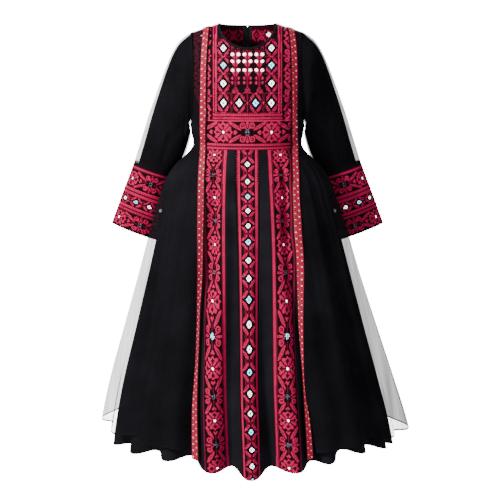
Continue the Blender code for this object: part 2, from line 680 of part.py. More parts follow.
UNDERARM = math.radians(55)
NORMAL_BLEND = 0.06
LAYER_WALLS = {"dress": DRESS_WALL, "sheer": SHEER_WALL}
SLEEVE_PIECES = (
    # name, layer, places of the rings along the arm, wall, finish
    ("sleeve", "dress", (0, 0.05, 0.12, 0.22, 0.34, 0.48, 0.62, 0.74, INNER_SLEEVE_END),
     DRESS_WALL, DRESS_CLOTH),
    ("overlay_sleeve", "sheer", (0, 0.05, 0.12, 0.22, 0.34, 0.48, 0.62, CUFF_TOP - 0.0006),
     SHEER_WALL, SHEER_CLOTH),
    ("cuff", "sheer", (CUFF_TOP, 0.80, 0.87, 1.0), CUFF_WALL, PRINTED_CLOTH),
)


def make_sleeves():
    """Dress sleeve, overlay sleeve and the cuff that takes both."""
    for name, layer, rows, thickness, finish in SLEEVE_PIECES:
        outer = sleeve_grid(layer, rows, 0.0)
        inner = sleeve_grid(layer, rows, -thickness)
        mirrored = np.array([-1, 1, 1])
        wall(f"{name}_right", outer, inner, finish, closed=True)
        wall(f"{name}_left", outer * mirrored, inner * mirrored, finish, closed=True)


# Zip slider and pull: sizes across, down the cloth and out of it, in the slider's own frame
SLIDER_DOWN = 0.0165         # middle of the slider below the origin
SLIDER_PLATE = ((-0.0035, 0.0035), (-0.0050, 0.0050), (0.0034, 0.0050))
SLIDER_STEM = ((-0.0010, 0.0010), (-0.0030, 0.0030), (-0.0010, 0.0040))
SLIDER_LUG = ((0.0011, 0.0019), (-0.0036, -0.0004), (0.0045, 0.0076))
PIN_AT = (0.0, -0.0020, 0.0066)
PIN_RADIUS = 0.0005
PIN_LENGTH = 0.0034
KNUCKLE_RADIUS = 0.0012
KNUCKLE_HOLE = 0.00058
KNUCKLE_WIDTH = 0.0016
PULL_NECK = 0.0025           # plate starts this far below the pin
PULL_PLATE = ((-0.0026, 0.0026), (PULL_NECK, 0.0230), (-0.0005, 0.0005))
PULL_TONGUE = ((-0.0008, 0.0008), (0.0009, 0.0040), (-0.0005, 0.0005))
PULL_LEAN = math.radians(-3.0)
EDGE_BEVEL = 0.0004


def box(name, spans, collection):
    """A box from its spans across, down and out."""
    mesh = bpy.data.meshes.new(name)
    shape = bmesh.new()
    bmesh.ops.create_cube(shape, size=1.0)
    bmesh.ops.scale(shape, verts=shape.verts, vec=[high - low for low, high in spans])
    bmesh.ops.translate(shape, verts=shape.verts, vec=[(low + high) / 2 for low, high in spans])
    shape.to_mesh(mesh)
    shape.free()
    made = bpy.data.objects.new(name, mesh)
    collection.objects.link(made)
    return made


def rod(name, radius, length, at, collection, sides=24):
    """A round rod lying across the cloth."""
    mesh = bpy.data.meshes.new(name)
    shape = bmesh.new()
    bmesh.ops.create_cone(shape, cap_ends=True, segments=sides, radius1=radius, radius2=radius,
                          depth=length)
    shape.transform(Matrix.Translation(at) @ Matrix.Rotation(math.pi / 2, 4, "Y"))
    shape.to_mesh(mesh)
    shape.free()
    made = bpy.data.objects.new(name, mesh)
    collection.objects.link(made)
    return made


def combine(base, operation, others):
    """Boolean each of the others into or out of the base."""
    for other in others:
        other.hide_render = True
        other.display_type = "WIRE"
        step = base.modifiers.new(other.name, "BOOLEAN")
        step.operation = operation
        step.solver = "EXACT"
        step.object = other


def bevelled(made, width):
    step = made.modifiers.new("bevel", "BEVEL")
    step.width = width
    step.segments = 2
    step.limit_method = "ANGLE"


def zip_frame():
    """Place of the slider: X across the centre back, Y down the cloth and Z out of it."""
    middle, down = np.array([0.0]), np.array([SLIDER_DOWN])
    at = Vector(cloth("dress", 1, middle, down, 0.0)[0])
    out = Vector(cloth("dress", 1, middle, down, 1.0)[0]) - at
    across = Vector((1, 0, 0))
    out = (out - across * out.dot(across)).normalized()
    return Matrix.Translation(at) @ Matrix((across, out.cross(across), out)).transposed().to_4x4()


def make_zip_pull():
    """Slider on the closed zip, and the pull that hangs from its pin."""
    garment = bpy.data.collections["abaya"]
    tools = bpy.data.collections["cutters"]
    place = zip_frame()

    slider = box("zip_slider", SLIDER_PLATE, garment)
    mirrored_lug = ((-SLIDER_LUG[0][1], -SLIDER_LUG[0][0]), *SLIDER_LUG[1:])
    added = [box("slider_stem", SLIDER_STEM, tools), box("slider_lug_right", SLIDER_LUG, tools),
             box("slider_lug_left", mirrored_lug, tools),
             rod("slider_pin", PIN_RADIUS, PIN_LENGTH, PIN_AT, tools)]
    bevelled(slider, EDGE_BEVEL)
    combine(slider, "UNION", added)

    origin = (0, 0, 0)
    pull = rod("zip_pull", KNUCKLE_RADIUS, KNUCKLE_WIDTH, origin, garment)
    plate = box("pull_plate", PULL_PLATE, tools)
    bevelled(plate, EDGE_BEVEL)
    tongue = box("pull_tongue", PULL_TONGUE, tools)
    combine(pull, "UNION", [tongue, plate])
    hole = rod("pull_hole", KNUCKLE_HOLE, 2 * KNUCKLE_WIDTH, origin, tools)
    combine(pull, "DIFFERENCE", [hole])

    hung = place @ Matrix.Translation(PIN_AT) @ Matrix.Rotation(PULL_LEAN, 4, "X")
    for made in (slider, *added):
        made.matrix_world = place
    for made in (pull, plate, tongue, hole):
        made.matrix_world = hung
    for made in (slider, pull):
        made.data.materials.append(material(*ZIP_METAL))


def main():
    for old in list(bpy.data.objects):
        bpy.data.objects.remove(old, do_unlink=True)
    for name in ("abaya", "cutters"):
        bpy.context.scene.collection.children.link(bpy.data.collections.new(name))
    make_bodice_front()
    make_waist_band()
    make_bodice_sides()
    make_bodice_backs()
    make_neck_binding()
    make_skirt()
    make_overlay()
    make_sleeves()
    make_zip_pull()


main()
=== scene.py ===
# %% [markdown]
# # Two-layer abaya
# A black dress with printed panels hangs under a sheer black overlay that is open in
# front. This lesson dresses the plain solids of the garment: each cloth wall is drawn
# again as a thin, finely divided shell or sheet on the same form, and the printed panels
# are coloured stitch by stitch.

# %% Load the frame
import math

import bpy
import numpy as np
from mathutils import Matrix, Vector


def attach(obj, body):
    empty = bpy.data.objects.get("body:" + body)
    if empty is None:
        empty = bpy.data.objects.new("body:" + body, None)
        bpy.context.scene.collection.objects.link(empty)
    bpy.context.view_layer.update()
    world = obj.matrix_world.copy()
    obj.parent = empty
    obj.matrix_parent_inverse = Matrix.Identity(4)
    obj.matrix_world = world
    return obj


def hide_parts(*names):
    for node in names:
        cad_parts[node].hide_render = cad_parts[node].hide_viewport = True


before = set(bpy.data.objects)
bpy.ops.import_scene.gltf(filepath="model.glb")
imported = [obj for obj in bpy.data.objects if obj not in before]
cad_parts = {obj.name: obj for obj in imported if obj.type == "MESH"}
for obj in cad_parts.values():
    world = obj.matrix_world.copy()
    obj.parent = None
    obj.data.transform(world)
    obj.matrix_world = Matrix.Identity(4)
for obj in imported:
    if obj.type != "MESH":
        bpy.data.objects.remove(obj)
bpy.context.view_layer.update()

# %% [markdown]
# ## Camera, floor and light
# The garment was seen from the front, a little above its middle, with a long lens. A lamp
# from the front left, a weak fill from the right, a lamp from behind for the edges and a
# bright surround give the even light of a studio on a white ground.

# %% Camera, floor and light
LENS_MM = 111.24
LOOK_DOWN = math.radians(9.0)
TARGET = Vector((0.0068, 0.0, -0.608))
DISTANCE = 4.2
FLOOR_BELOW = 1.30
SURROUND = 0.55              # strength of the bright surround


def linear(hex_colour):
    """sRGB hex to linear RGBA."""
    parts = [int(hex_colour[i:i + 2], 16) / 255 for i in (0, 2, 4)]
    return tuple(c / 12.92 if c <= 0.04045 else ((c + 0.055) / 1.055)**2.4 for c in parts) + (1.0,)


def aim(obj, target):
    obj.rotation_euler = (Vector(target) - obj.location).to_track_quat("-Z", "Y").to_euler()


eye = bpy.data.cameras.new("camera")
eye.lens = LENS_MM
eye.sensor_width = 36.0
camera = bpy.data.objects.new("camera", eye)
camera.location = TARGET + Vector((0, -math.cos(LOOK_DOWN), math.sin(LOOK_DOWN))) * DISTANCE
aim(camera, TARGET)
bpy.context.scene.collection.objects.link(camera)
bpy.context.scene.camera = camera


def area_light(name, place, size, watts, colour="ffffff"):
    lamp = bpy.data.lights.new(name, "AREA")
    lamp.shape = "DISK"
    lamp.size = size
    lamp.energy = watts
    lamp.color = linear(colour)[:3]
    made = bpy.data.objects.new(name, lamp)
    made.location = place
    aim(made, TARGET)
    bpy.context.scene.collection.objects.link(made)


area_light("key_light", (-2.1, -1.8, 1.0), 0.6, 175, "fff8f2")
area_light("fill_light", (1.2, -3.6, 0.4), 1.4, 26, "f2f6ff")
area_light("back_light", (0.5, 3.2, 1.8), 1.8, 90)

# The paper lies flat under the garment and turns up far behind it
PAPER_PROFILE = ((-40.0, 0.0), (24.0, 0.0), (28.0, 0.5), (31.0, 1.8), (33.0, 4.0), (34.0, 9.0))
PAPER_HALF = 60.0
floor_mesh = bpy.data.meshes.new("floor")
corners = [(side * PAPER_HALF, y, up - FLOOR_BELOW) for y, up in PAPER_PROFILE for side in (-1, 1)]
floor_mesh.from_pydata(corners, [], [(i, i + 1, i + 3, i + 2) for i in range(0, len(corners) - 2, 2)])
floor = bpy.data.objects.new("floor", floor_mesh)
bpy.context.scene.collection.objects.link(floor)
# The paper is a backdrop only: it shows through the voile but throws no light on the cloth
floor.visible_diffuse = False
floor.visible_glossy = False

world = bpy.data.worlds.new("studio")
bpy.context.scene.world = world
world.use_nodes = True
world.node_tree.nodes["Background"].inputs["Color"].default_value = linear("ffffff")
world.node_tree.nodes["Background"].inputs["Strength"].default_value = SURROUND
print("camera at", [round(c, 3) for c in camera.location])

# %% [markdown]
# ## Tables of the cut
# Each table is read with a smooth curve through its rows. Heights are distances down from
# the neck points. These are the sizes that the solids were built from.

# %% Tables of the cut
NECK_HALF = 0.078
FRONT_NECK_DROP = 0.065
BACK_NECK_DROP = 0.008
SHOULDER_HALF = 0.148
SHOULDER_DROP = 0.024
FRONT_ROUNDING = 0.13
BACK_ROUNDING = 0.10
BAND_TOP = 0.249
ARMPIT = 0.257
SHEER_ARMPIT = 0.270
WAIST = 0.328
SHEER_BREAK = 0.409
SEAM = 0.0003
STRIP_HALF = 0.032
ZIP_SLIT = 0.0015
DRESS_WALL = 0.0015
LINING_CLEAR = 0.0004
FACING_EDGE = 0.0134
SHEER_WALL = 0.0012
SHEER_CLEAR_TOP = 0.0018
SHEER_CLEAR_HEM = 0.0075
SHEER_CLEAR_FULL = 0.80
TRIM_EDGE = 0.0025
TRIM_WIDTH = 0.0176


def table(columns, rows):
    """A short table as a dict of arrays, one for each named column."""
    return {name: np.array([row[i] for row in rows], float) for i, name in enumerate(columns)}


def read(source, column, at):
    """Value of a column at a smooth position along the table's first column."""
    names = list(source)
    along, values = source[names[0]], source[column]
    slopes = np.gradient(values, along)
    at = np.clip(np.asarray(at, float), along[0], along[-1])
    i = np.clip(np.searchsorted(along, at) - 1, 0, len(along) - 2)
    step = along[i + 1] - along[i]
    t = (at - along[i]) / step
    return ((2 * t**3 - 3 * t**2 + 1) * values[i] + (t**3 - 2 * t**2 + t) * step * slopes[i]
            + (3 * t**2 - 2 * t**3) * values[i + 1] + (t**3 - t**2) * step * slopes[i + 1])


def smooth(t):
    t = np.clip(t, 0, 1)
    return t * t * (3 - 2 * t)


# %% Rings, hems, folds and sleeves
# Rings of the dress from shoulders to hem, before its folds
BODY = table(("down", "half_width", "front", "back"), (
    (0.000, 0.1820, 0.080, 0.085),
    (0.060, 0.1800, 0.083, 0.092),
    (0.140, 0.1710, 0.086, 0.097),
    (0.200, 0.1620, 0.087, 0.097),
    (0.257, 0.1520, 0.086, 0.094),
    (0.290, 0.1440, 0.085, 0.091),
    (0.328, 0.1375, 0.084, 0.089),
    (0.336, 0.1440, 0.086, 0.094),
    (0.349, 0.1600, 0.089, 0.101),
    (0.372, 0.1850, 0.095, 0.112),
    (0.409, 0.2080, 0.104, 0.126),
    (0.470, 0.2240, 0.118, 0.142),
    (0.530, 0.2390, 0.131, 0.155),
    (0.590, 0.2525, 0.145, 0.166),
    (0.700, 0.2770, 0.172, 0.184),
    (0.840, 0.3090, 0.203, 0.205),
    (0.950, 0.3345, 0.226, 0.222),
    (1.080, 0.3605, 0.248, 0.244),
    (1.200, 0.3765, 0.265, 0.260),
))

# Half-width of front and back at the armhole edge of each layer
ARMHOLES = {
    "dress": table(("down", "half_width"), (
        (0.024, 0.1480), (0.060, 0.1455), (0.140, 0.1445), (0.200, 0.1475), (0.257, 0.1520))),
    "sheer": table(("down", "half_width"), (
        (0.024, 0.1480), (0.060, 0.1455), (0.140, 0.1445), (0.200, 0.1462), (0.249, 0.1475),
        (0.270, 0.1490))),
}
ARMPITS = {"dress": ARMPIT, "sheer": SHEER_ARMPIT}

# Seam from the armhole down the printed front panel
PRINCESS = table(("down", "half_width"), (
    (0.165, 0.1460), (0.210, 0.1290), (0.249, 0.1210), (0.290, 0.1190), (0.328, 0.1180)))

# The garment hangs a little to one side lower down
DRIFT = table(("down", "x"), (
    (0.400, 0.000), (0.600, 0.003), (0.800, 0.005), (0.970, 0.007), (1.080, 0.011), (1.200, 0.015)))

# Hem height all round, angle 0 at centre front and positive to the garment's +X side
DRESS_HEM = table(("angle", "down"), (
    (-180, 1.150), (-135, 1.146), (-90, 1.136), (-65, 1.132), (-45, 1.130), (-27, 1.133),
    (-17, 1.146), (0, 1.152), (17, 1.147), (26, 1.144), (35, 1.133), (45, 1.124), (60, 1.127),
    (90, 1.147), (135, 1.152), (180, 1.150)))
SHEER_HEM = table(("angle", "down"), (
    (-180, 1.085), (-135, 1.080), (-90, 1.078), (-60, 1.086), (-45, 1.092), (-30, 1.104),
    (-22, 1.122), (-16, 1.142), (16, 1.142), (22, 1.124), (30, 1.108), (45, 1.096),
    (60, 1.096), (90, 1.102), (135, 1.090), (180, 1.085)))
CENTRE_DIP = 0.012           # the centre strip hangs lower than its neighbours
DIP_WIDTH = 9.0
HEM_FOLLOWS_FOLD = 0.3       # share of a fold's depth by which the hem drops at it
FOLDS_FULL = 1.14            # a fold reaches the depth in its table this far down
FOLDS_END = 1.1              # share of the way there at which it stops deepening
FOLD_GROWTH = 1.15           # power by which it deepens on the way

# Folds of the skirt: a ridge where depth is positive, a trough where it is negative
DRESS_FOLDS = table(("angle", "width", "depth", "starts"), (
    (-176, 10, 0.024, 0.42), (-164, 9, -0.020, 0.46), (-152, 10, 0.022, 0.40),
    (-140, 9, -0.022, 0.50), (-128, 10, 0.024, 0.38), (-116, 10, -0.020, 0.45),
    (-104, 10, 0.020, 0.40), (-92, 10, -0.016, 0.55), (-80, 10, 0.018, 0.42),
    (-68, 9, -0.018, 0.48), (-57, 9, 0.018, 0.40), (-46, 8, -0.020, 0.44),
    (-36.5, 8, 0.020, 0.40), (-27, 7, -0.024, 0.42), (-17, 8, 0.024, 0.38),
    (-8.5, 6, -0.020, 0.42), (-1, 8, 0.022, 0.40), (7.5, 6, -0.020, 0.44),
    (17.5, 8, 0.024, 0.40), (26, 6.5, -0.021, 0.42), (33, 6.5, 0.018, 0.42),
    (42, 7.5, -0.022, 0.46), (51, 8, 0.018, 0.40), (60, 8, -0.018, 0.52),
    (70, 9, 0.018, 0.42), (81, 10, -0.018, 0.46), (92, 10, 0.020, 0.44),
    (104, 10, -0.018, 0.50), (116, 10, 0.022, 0.40), (128, 10, -0.022, 0.46),
    (140, 10, 0.024, 0.42), (151, 9, -0.020, 0.50), (162, 9, 0.020, 0.40),
    (173, 8, -0.016, 0.48)))

# Folds of the overlay, looser and in other places
SHEER_FOLDS = table(("angle", "width", "depth", "starts"), (
    (-170, 10, 0.014, 0.34), (-157, 9, -0.012, 0.42), (-144, 11, 0.016, 0.36),
    (-130, 10, -0.013, 0.40), (-117, 10, 0.015, 0.34), (-105, 9, -0.012, 0.46),
    (-92, 11, 0.016, 0.40), (-78, 9, -0.013, 0.42), (-66, 9, 0.014, 0.36),
    (-55, 8, -0.012, 0.44), (-45, 7, 0.012, 0.38),
    (45, 8, 0.012, 0.38), (56, 8, -0.012, 0.42), (67, 9, 0.014, 0.36),
    (79, 9, -0.012, 0.46), (92, 24, 0.020, 0.55), (94, 11, 0.014, 0.40),
    (108, 10, -0.013, 0.42), (121, 10, 0.015, 0.36), (134, 10, -0.013, 0.44),
    (147, 11, 0.016, 0.38), (160, 9, -0.012, 0.42), (172, 9, 0.012, 0.36)))

# Overlay: how far it stands off the dress at the sides, and where its front edge falls
SHEER = table(("down", "flare", "front_edge"), (
    (0.000, 0.000, 0.0880), (0.040, 0.000, 0.0940), (0.110, 0.000, 0.1020),
    (0.200, 0.000, 0.1050), (0.257, 0.001, 0.1055), (0.300, 0.005, 0.1060),
    (0.328, 0.009, 0.1060), (0.349, 0.004, 0.1062), (0.372, 0.004, 0.1068),
    (0.409, 0.006, 0.1080), (0.470, 0.011, 0.1095), (0.530, 0.014, 0.1115),
    (0.613, 0.016, 0.1150), (0.750, 0.020, 0.1200), (0.880, 0.025, 0.1225),
    (1.020, 0.030, 0.1240), (1.160, 0.034, 0.1230)))
FLARE_AT_FRONT = 0.55        # share of the flare that reaches the front
BRIDGE_FROM = 2.0            # degrees past its edge where the overlay starts to leave the skirt's folds
BRIDGE_DEGREES = 14.0        # and the degrees over which it does

# Sleeves: outer and inner line of the arm, with the middle and half-depth of each ring
SLEEVE = table(("along", "outer_x", "outer_down", "inner_x", "inner_down", "y", "half_depth"), (
    (0.00, 0.1480, 0.024, 0.1520, 0.257, 0.000, 0.046),
    (0.10, 0.1770, 0.043, 0.1555, 0.270, 0.004, 0.050),
    (0.20, 0.1960, 0.067, 0.1590, 0.284, 0.012, 0.052),
    (0.30, 0.2113, 0.096, 0.1630, 0.300, 0.022, 0.052),
    (0.44, 0.2395, 0.165, 0.1710, 0.330, 0.040, 0.048),
    (0.58, 0.2700, 0.247, 0.1830, 0.364, 0.059, 0.043),
    (0.66, 0.2915, 0.313, 0.1950, 0.390, 0.070, 0.039),
    (0.74, 0.3120, 0.377, 0.2070, 0.415, 0.080, 0.036),
    (0.87, 0.3450, 0.462, 0.2270, 0.507, 0.096, 0.035),
    (1.00, 0.3770, 0.547, 0.2470, 0.597, 0.108, 0.034)))
CUFF_TOP = 0.74
INNER_SLEEVE_END = 0.79
# How far the dress sleeve lies inside the overlay sleeve, at the outer line and elsewhere
SLEEVE_EASE = table(("along", "outer", "round"), (
    (0.00, 0.0000, 0.0000), (0.05, 0.0035, 0.0050), (0.12, 0.0055, 0.0068),
    (0.20, 0.0065, 0.0070), (0.30, 0.0080, 0.0068), (0.44, 0.0100, 0.0064),
    (0.58, 0.0120, 0.0060), (0.80, 0.0125, 0.0060)))
ARMHOLE_BLEND = 0.25         # the armhole's own shape has gone by here
print("folds:", len(DRESS_FOLDS["angle"]), "in the dress,", len(SHEER_FOLDS["angle"]), "in the overlay")

# %% [markdown]
# ## Small creases
# Between its big folds real cloth has shallow creases. Each row is one: where it starts,
# how it leans as it runs down, how wide and how deep it is. They are troughs on the dress
# and ridges on the overlay, so the two layers stay clear of each other.

# %% Small creases
CREASES = {
    "dress": table(("angle", "lean", "top", "bottom", "width", "depth"), (
        (-171, 6, 0.34, 0.92, 5.0, -0.0030), (-158, -5, 0.35, 0.78, 4.5, -0.0026),
        (-146, 8, 0.33, 1.05, 5.5, -0.0034), (-134, 4, 0.36, 0.86, 4.0, -0.0024),
        (-121, -6, 0.34, 1.12, 5.0, -0.0032), (-109, 5, 0.35, 0.74, 4.0, -0.0022),
        (-97, 9, 0.33, 0.99, 6.0, -0.0032), (-86, -4, 0.36, 0.83, 4.0, -0.0024),
        (-75, 7, 0.34, 1.10, 5.0, -0.0034), (-62, -5, 0.35, 0.90, 4.0, -0.0026),
        (-52, 4, 0.34, 0.71, 3.5, -0.0022), (-31, 3, 0.40, 0.95, 3.0, -0.0018),
        (-21, -3, 0.36, 0.80, 3.0, -0.0016), (22, 3, 0.38, 0.88, 3.0, -0.0018),
        (37, 4, 0.36, 0.99, 3.5, -0.0024), (47, -5, 0.34, 0.84, 4.0, -0.0026),
        (56, 6, 0.35, 1.11, 4.5, -0.0032), (65, -4, 0.34, 0.76, 4.0, -0.0024),
        (76, 7, 0.34, 1.02, 5.0, -0.0034), (87, -5, 0.36, 0.87, 4.0, -0.0026),
        (98, 6, 0.34, 1.12, 5.5, -0.0032), (110, -6, 0.35, 0.80, 4.5, -0.0024),
        (122, 5, 0.33, 0.97, 5.0, -0.0032), (134, -4, 0.36, 0.74, 4.0, -0.0022),
        (146, 7, 0.34, 1.08, 5.5, -0.0034), (157, 5, 0.35, 0.88, 4.5, -0.0026),
        (168, -6, 0.34, 1.00, 5.0, -0.0030),
        # the two deepest, along the printed strips at the hips
        (-24, 2, 0.36, 0.76, 6.5, -0.0120), (31, -7, 0.335, 0.62, 6.0, -0.0120),
        # pulls across the bodice: at the armholes in front and behind, and above the waist
        (-58, 26, 0.17, 0.30, 5.0, -0.0020), (58, -24, 0.16, 0.29, 5.0, -0.0022),
        (-122, -26, 0.15, 0.30, 6.0, -0.0024), (122, 25, 0.16, 0.31, 6.0, -0.0024),
        (-150, 30, 0.22, 0.33, 6.0, -0.0018), (149, -28, 0.21, 0.33, 6.0, -0.0020))),
    "sheer": table(("angle", "lean", "top", "bottom", "width", "depth"), (
        (-174, -5, 0.10, 0.80, 5.0, 0.0030), (-163, 6, 0.33, 1.08, 4.5, 0.0036),
        (-151, -6, 0.06, 0.90, 5.0, 0.0030), (-138, 7, 0.35, 1.02, 4.5, 0.0036),
        (-125, -4, 0.12, 0.76, 4.0, 0.0028), (-112, 5, 0.30, 1.06, 5.0, 0.0036),
        (-99, -8, 0.34, 0.92, 4.5, 0.0034), (-86, 6, 0.30, 1.04, 4.5, 0.0040),
        (-75, -5, 0.28, 0.80, 4.0, 0.0030), (-64, 4, 0.24, 1.10, 4.0, 0.0036),
        (-54, -3, 0.10, 0.72, 3.5, 0.0026), (-47, 4, 0.30, 1.00, 3.0, 0.0030),
        (48, -4, 0.28, 0.95, 3.5, 0.0030), (57, 3, 0.10, 0.74, 3.5, 0.0026),
        (66, -5, 0.26, 1.08, 4.0, 0.0036), (77, 6, 0.30, 0.84, 4.0, 0.0030),
        (88, -6, 0.32, 1.05, 4.5, 0.0040), (101, 8, 0.34, 0.90, 4.5, 0.0034),
        (114, -5, 0.30, 1.07, 5.0, 0.0036), (127, 4, 0.12, 0.78, 4.0, 0.0028),
        (140, -7, 0.35, 1.03, 4.5, 0.0036), (153, 6, 0.07, 0.88, 5.0, 0.0030),
        (165, -6, 0.33, 1.06, 4.5, 0.0036), (176, 4, 0.12, 0.82, 4.5, 0.0028))),
}
CREASE_FADE = 0.30           # share of a crease's length over which it fades at each end


def creases(layer, angle, down):
    """Sum of a layer's small creases at an angle and a height."""
    total = np.zeros(np.broadcast(angle, down).shape)
    for at, lean, top, bottom, width, depth in zip(*CREASES[layer].values()):
        share = (down - top) / (bottom - top)
        away = np.abs((angle - at - lean * share + 180) % 360 - 180) / width
        bell = np.where(away < 1, (1 - np.minimum(away, 1)**2)**2, 0)
        total = total + depth * bell * smooth(share / CREASE_FADE) * smooth((1 - share) / CREASE_FADE)
    return total


print("creases:", {layer: len(rows["angle"]) for layer, rows in CREASES.items()})

# %% [markdown]
# ## The cloth as a surface
# A place on the garment is given by its layer, front or back, how far across it lies
# (u, from -1 to 1) and how far down. One function turns that into a point, so panels that
# meet at a seam share it exactly, and the overlay follows the dress wherever they touch.

# %% The cloth as a surface
STEP = 1e-5                  # for slopes taken by differences


def shoulder_down(x):
    """Height of the shoulder line, carried on through the neck."""
    return SHOULDER_DROP * (np.abs(x) - NECK_HALF) / (SHOULDER_HALF - NECK_HALF)


def top_down(face, x):
    """Upper edge of front (-1) or back (+1): neckline, then shoulder seam."""
    drop = FRONT_NECK_DROP if face < 0 else BACK_NECK_DROP
    inside = np.sqrt(np.clip(1 - (x / NECK_HALF)**2, 0, 1))
    return np.where(np.abs(x) < NECK_HALF, drop * inside, shoulder_down(x))


def folds(source, angle, down):
    """Sum of the folds in a table at an angle and a height."""
    total = np.zeros(np.broadcast(angle, down).shape)
    for at, width, depth, starts in zip(*source.values()):
        away = np.abs((angle - at + 180) % 360 - 180) / width
        bell = np.where(away < 1, 0.5 + 0.5 * np.cos(np.pi * np.minimum(away, 1)), 0)
        growth = np.clip((down - starts) / (FOLDS_FULL - starts), 0, FOLDS_END)
        total = total + depth * bell * growth**FOLD_GROWTH
    return total


def all_round(face, u):
    """Angle round the body, 0 at centre front, from a place u across front or back."""
    half_turn = np.degrees(np.arcsin(np.clip(u, -1, 1)))
    if face < 0:
        return half_turn
    return np.where(u >= 0, 180 - half_turn, -180 - half_turn)


def edge_angle(down):
    """Angle at which the overlay's front edge lies."""
    share = read(SHEER, "front_edge", down) / read(BODY, "half_width", down)
    return np.degrees(np.arcsin(np.clip(share, 0, 0.95)))


def standing_off(layer, angle, down):
    """How far a layer lies outside the dress's plain rings."""
    dress = folds(DRESS_FOLDS, angle, down) + creases("dress", angle, down)
    if layer == "dress":
        return dress
    free = smooth((np.abs(angle) - edge_angle(down) - BRIDGE_FROM) / BRIDGE_DEGREES)
    sideways = np.where(np.abs(angle) > 90, 1, np.sin(np.radians(angle))**2)
    flare = read(SHEER, "flare", down) * (FLARE_AT_FRONT + (1 - FLARE_AT_FRONT) * sideways)
    loose = folds(SHEER_FOLDS, angle, down) + creases("sheer", angle, down) + flare
    return (1 - free) * dress + free * loose


def half_width_at(down, layer="dress"):
    """Half of a layer's width from armhole to armhole, or from side to side below them."""
    armhole_edge = read(ARMHOLES[layer], "half_width", down)
    return np.where(down < ARMPITS[layer], armhole_edge, read(BODY, "half_width", down))


def surface(layer, face, u, down):
    """Point of the dress or the overlay. u runs from -1 to 1 across front or back."""
    half = read(BODY, "half_width", down)
    edge = half_width_at(down, layer)
    depth = read(BODY, "front" if face < 0 else "back", down)
    x = u * edge
    rounding = FRONT_ROUNDING if face < 0 else BACK_ROUNDING
    fallen = np.clip((down - shoulder_down(x)) / rounding, 0, 1)
    across = np.sqrt(np.clip(1 - (x / half)**2, 0, 1))
    y = face * np.maximum(depth * across * np.sqrt(1 - (1 - fallen)**2), SEAM / 2)
    normal_x, normal_y = x / half**2, face * across / depth
    length = np.hypot(normal_x, normal_y)
    out = standing_off(layer, all_round(face, u), down)
    return np.stack([x + out * normal_x / length + read(DRIFT, "x", down),
                     y + out * normal_y / length, -down], axis=-1)


def cloth(layer, face, u, down, offset):
    """Points a distance outside a layer's surface, along its own normal."""
    u, down = np.broadcast_arrays(np.asarray(u, float), np.asarray(down, float))
    step = np.where(u >= 0, -STEP, STEP)
    point = surface(layer, face, u, down)
    across = (surface(layer, face, u + step, down) - point) / step[..., None]
    downward = surface(layer, face, u, down + STEP) - point
    normal = np.cross(downward, across) * -face
    normal /= np.linalg.norm(normal, axis=-1, keepdims=True)
    return point + normal * np.asarray(offset)[..., None]


def sheer_clear(down):
    """Space between the dress and the overlay's wall."""
    share = smooth((down - WAIST) / (SHEER_CLEAR_FULL - WAIST))
    return SHEER_CLEAR_TOP + (SHEER_CLEAR_HEM - SHEER_CLEAR_TOP) * share


def skirt_down(angle, share):
    """Height of the skirt at a share of the way from waist to hem."""
    dip = np.where(np.abs(angle) < DIP_WIDTH, 0.5 + 0.5 * np.cos(np.pi * angle / DIP_WIDTH), 0)
    hem = (read(DRESS_HEM, "down", angle) + CENTRE_DIP * dip
           + HEM_FOLLOWS_FOLD * folds(DRESS_FOLDS, angle, np.full_like(angle, FOLDS_FULL)))
    top = WAIST + SEAM / 2
    return top + (hem - top) * share


def sheer_down(angle, share):
    """Height of the overlay's lower part at a share of the way to its hem."""
    hem = (read(SHEER_HEM, "down", angle)
           + HEM_FOLLOWS_FOLD * folds(SHEER_FOLDS, angle, np.full_like(angle, FOLDS_FULL)))
    return SHEER_BREAK + (hem - SHEER_BREAK) * share


FINE_PLACES = 1441


def arc_row(layer, face, sign, height, share):
    """Fine places along half a row, with the distance from the centre line to each."""
    turn = np.radians(np.linspace(0, 90, FINE_PLACES))
    u = sign * np.sin(turn)
    down = height(all_round(face, u), share)
    points = surface(layer, face, u, down)
    gone = np.concatenate([[0], np.cumsum(np.linalg.norm(np.diff(points, axis=0), axis=1))])
    return turn, gone


print("half-width at the waist:", float(half_width_at(WAIST)))

# %% [markdown]
# ## Thread colours and the stitcher's brush
# The red work imitates counted stitches, so the pattern is drawn on stitch cells about
# 2 mm wide. Each panel is an array of cells, and small brushes (a diamond, a disc, a ring,
# a leaf) ink the cells that they cover. Motifs are drawn in millimetres and then stretched
# to fit uneven rows and tapering strips.

# %% Thread colours and brushes
CELL = 0.0020                # one stitch, about 13 to the inch
INKS = {
    "ground": "0f0509",      # black cloth showing through red thread
    "pink": "b8184c",
    "rose": "740c2e",
    "wine": "330714",
    "white": "f6f3f6",
    "sky": "74c4e0",
    "slate": "6b6478",
}
INK = {name: i for i, name in enumerate(INKS)}
INK_COLOURS = np.array([linear(code) for code in INKS.values()])
# The fourth number marks the white and blue threads, which their material gives a painted glow
INK_COLOURS[:, 3] = [1.0 if name in ("white", "sky") else 0.0 for name in INKS]
DOT_PITCH = 6.0              # mm, between the fine dots of a border
DOT_HALF = 1.2               # mm, half of a dot's width
DOT_LONG = 2.2
DOTS_FROM = 400              # mm left of the centre, where dots across the body are counted from
BORDER_EDGE = 1.1            # mm, the dark line along each side of a border
OUTLINE = 2.1                # mm of dark ground kept round a shape
LATTICE = 2.9                # mm, the lattice in a star's heart


def ink(cells, where, name):
    cells[where] = INK[name]


def disc(x, y, cx, cy, r):
    return (x - cx)**2 + (y - cy)**2 < r * r


def ring(x, y, cx, cy, r, thick):
    return np.abs(np.hypot(x - cx, y - cy) - r) < thick / 2


def diamond(x, y, cx, cy, wide, high):
    return np.abs(x - cx) / wide + np.abs(y - cy) / high < 1


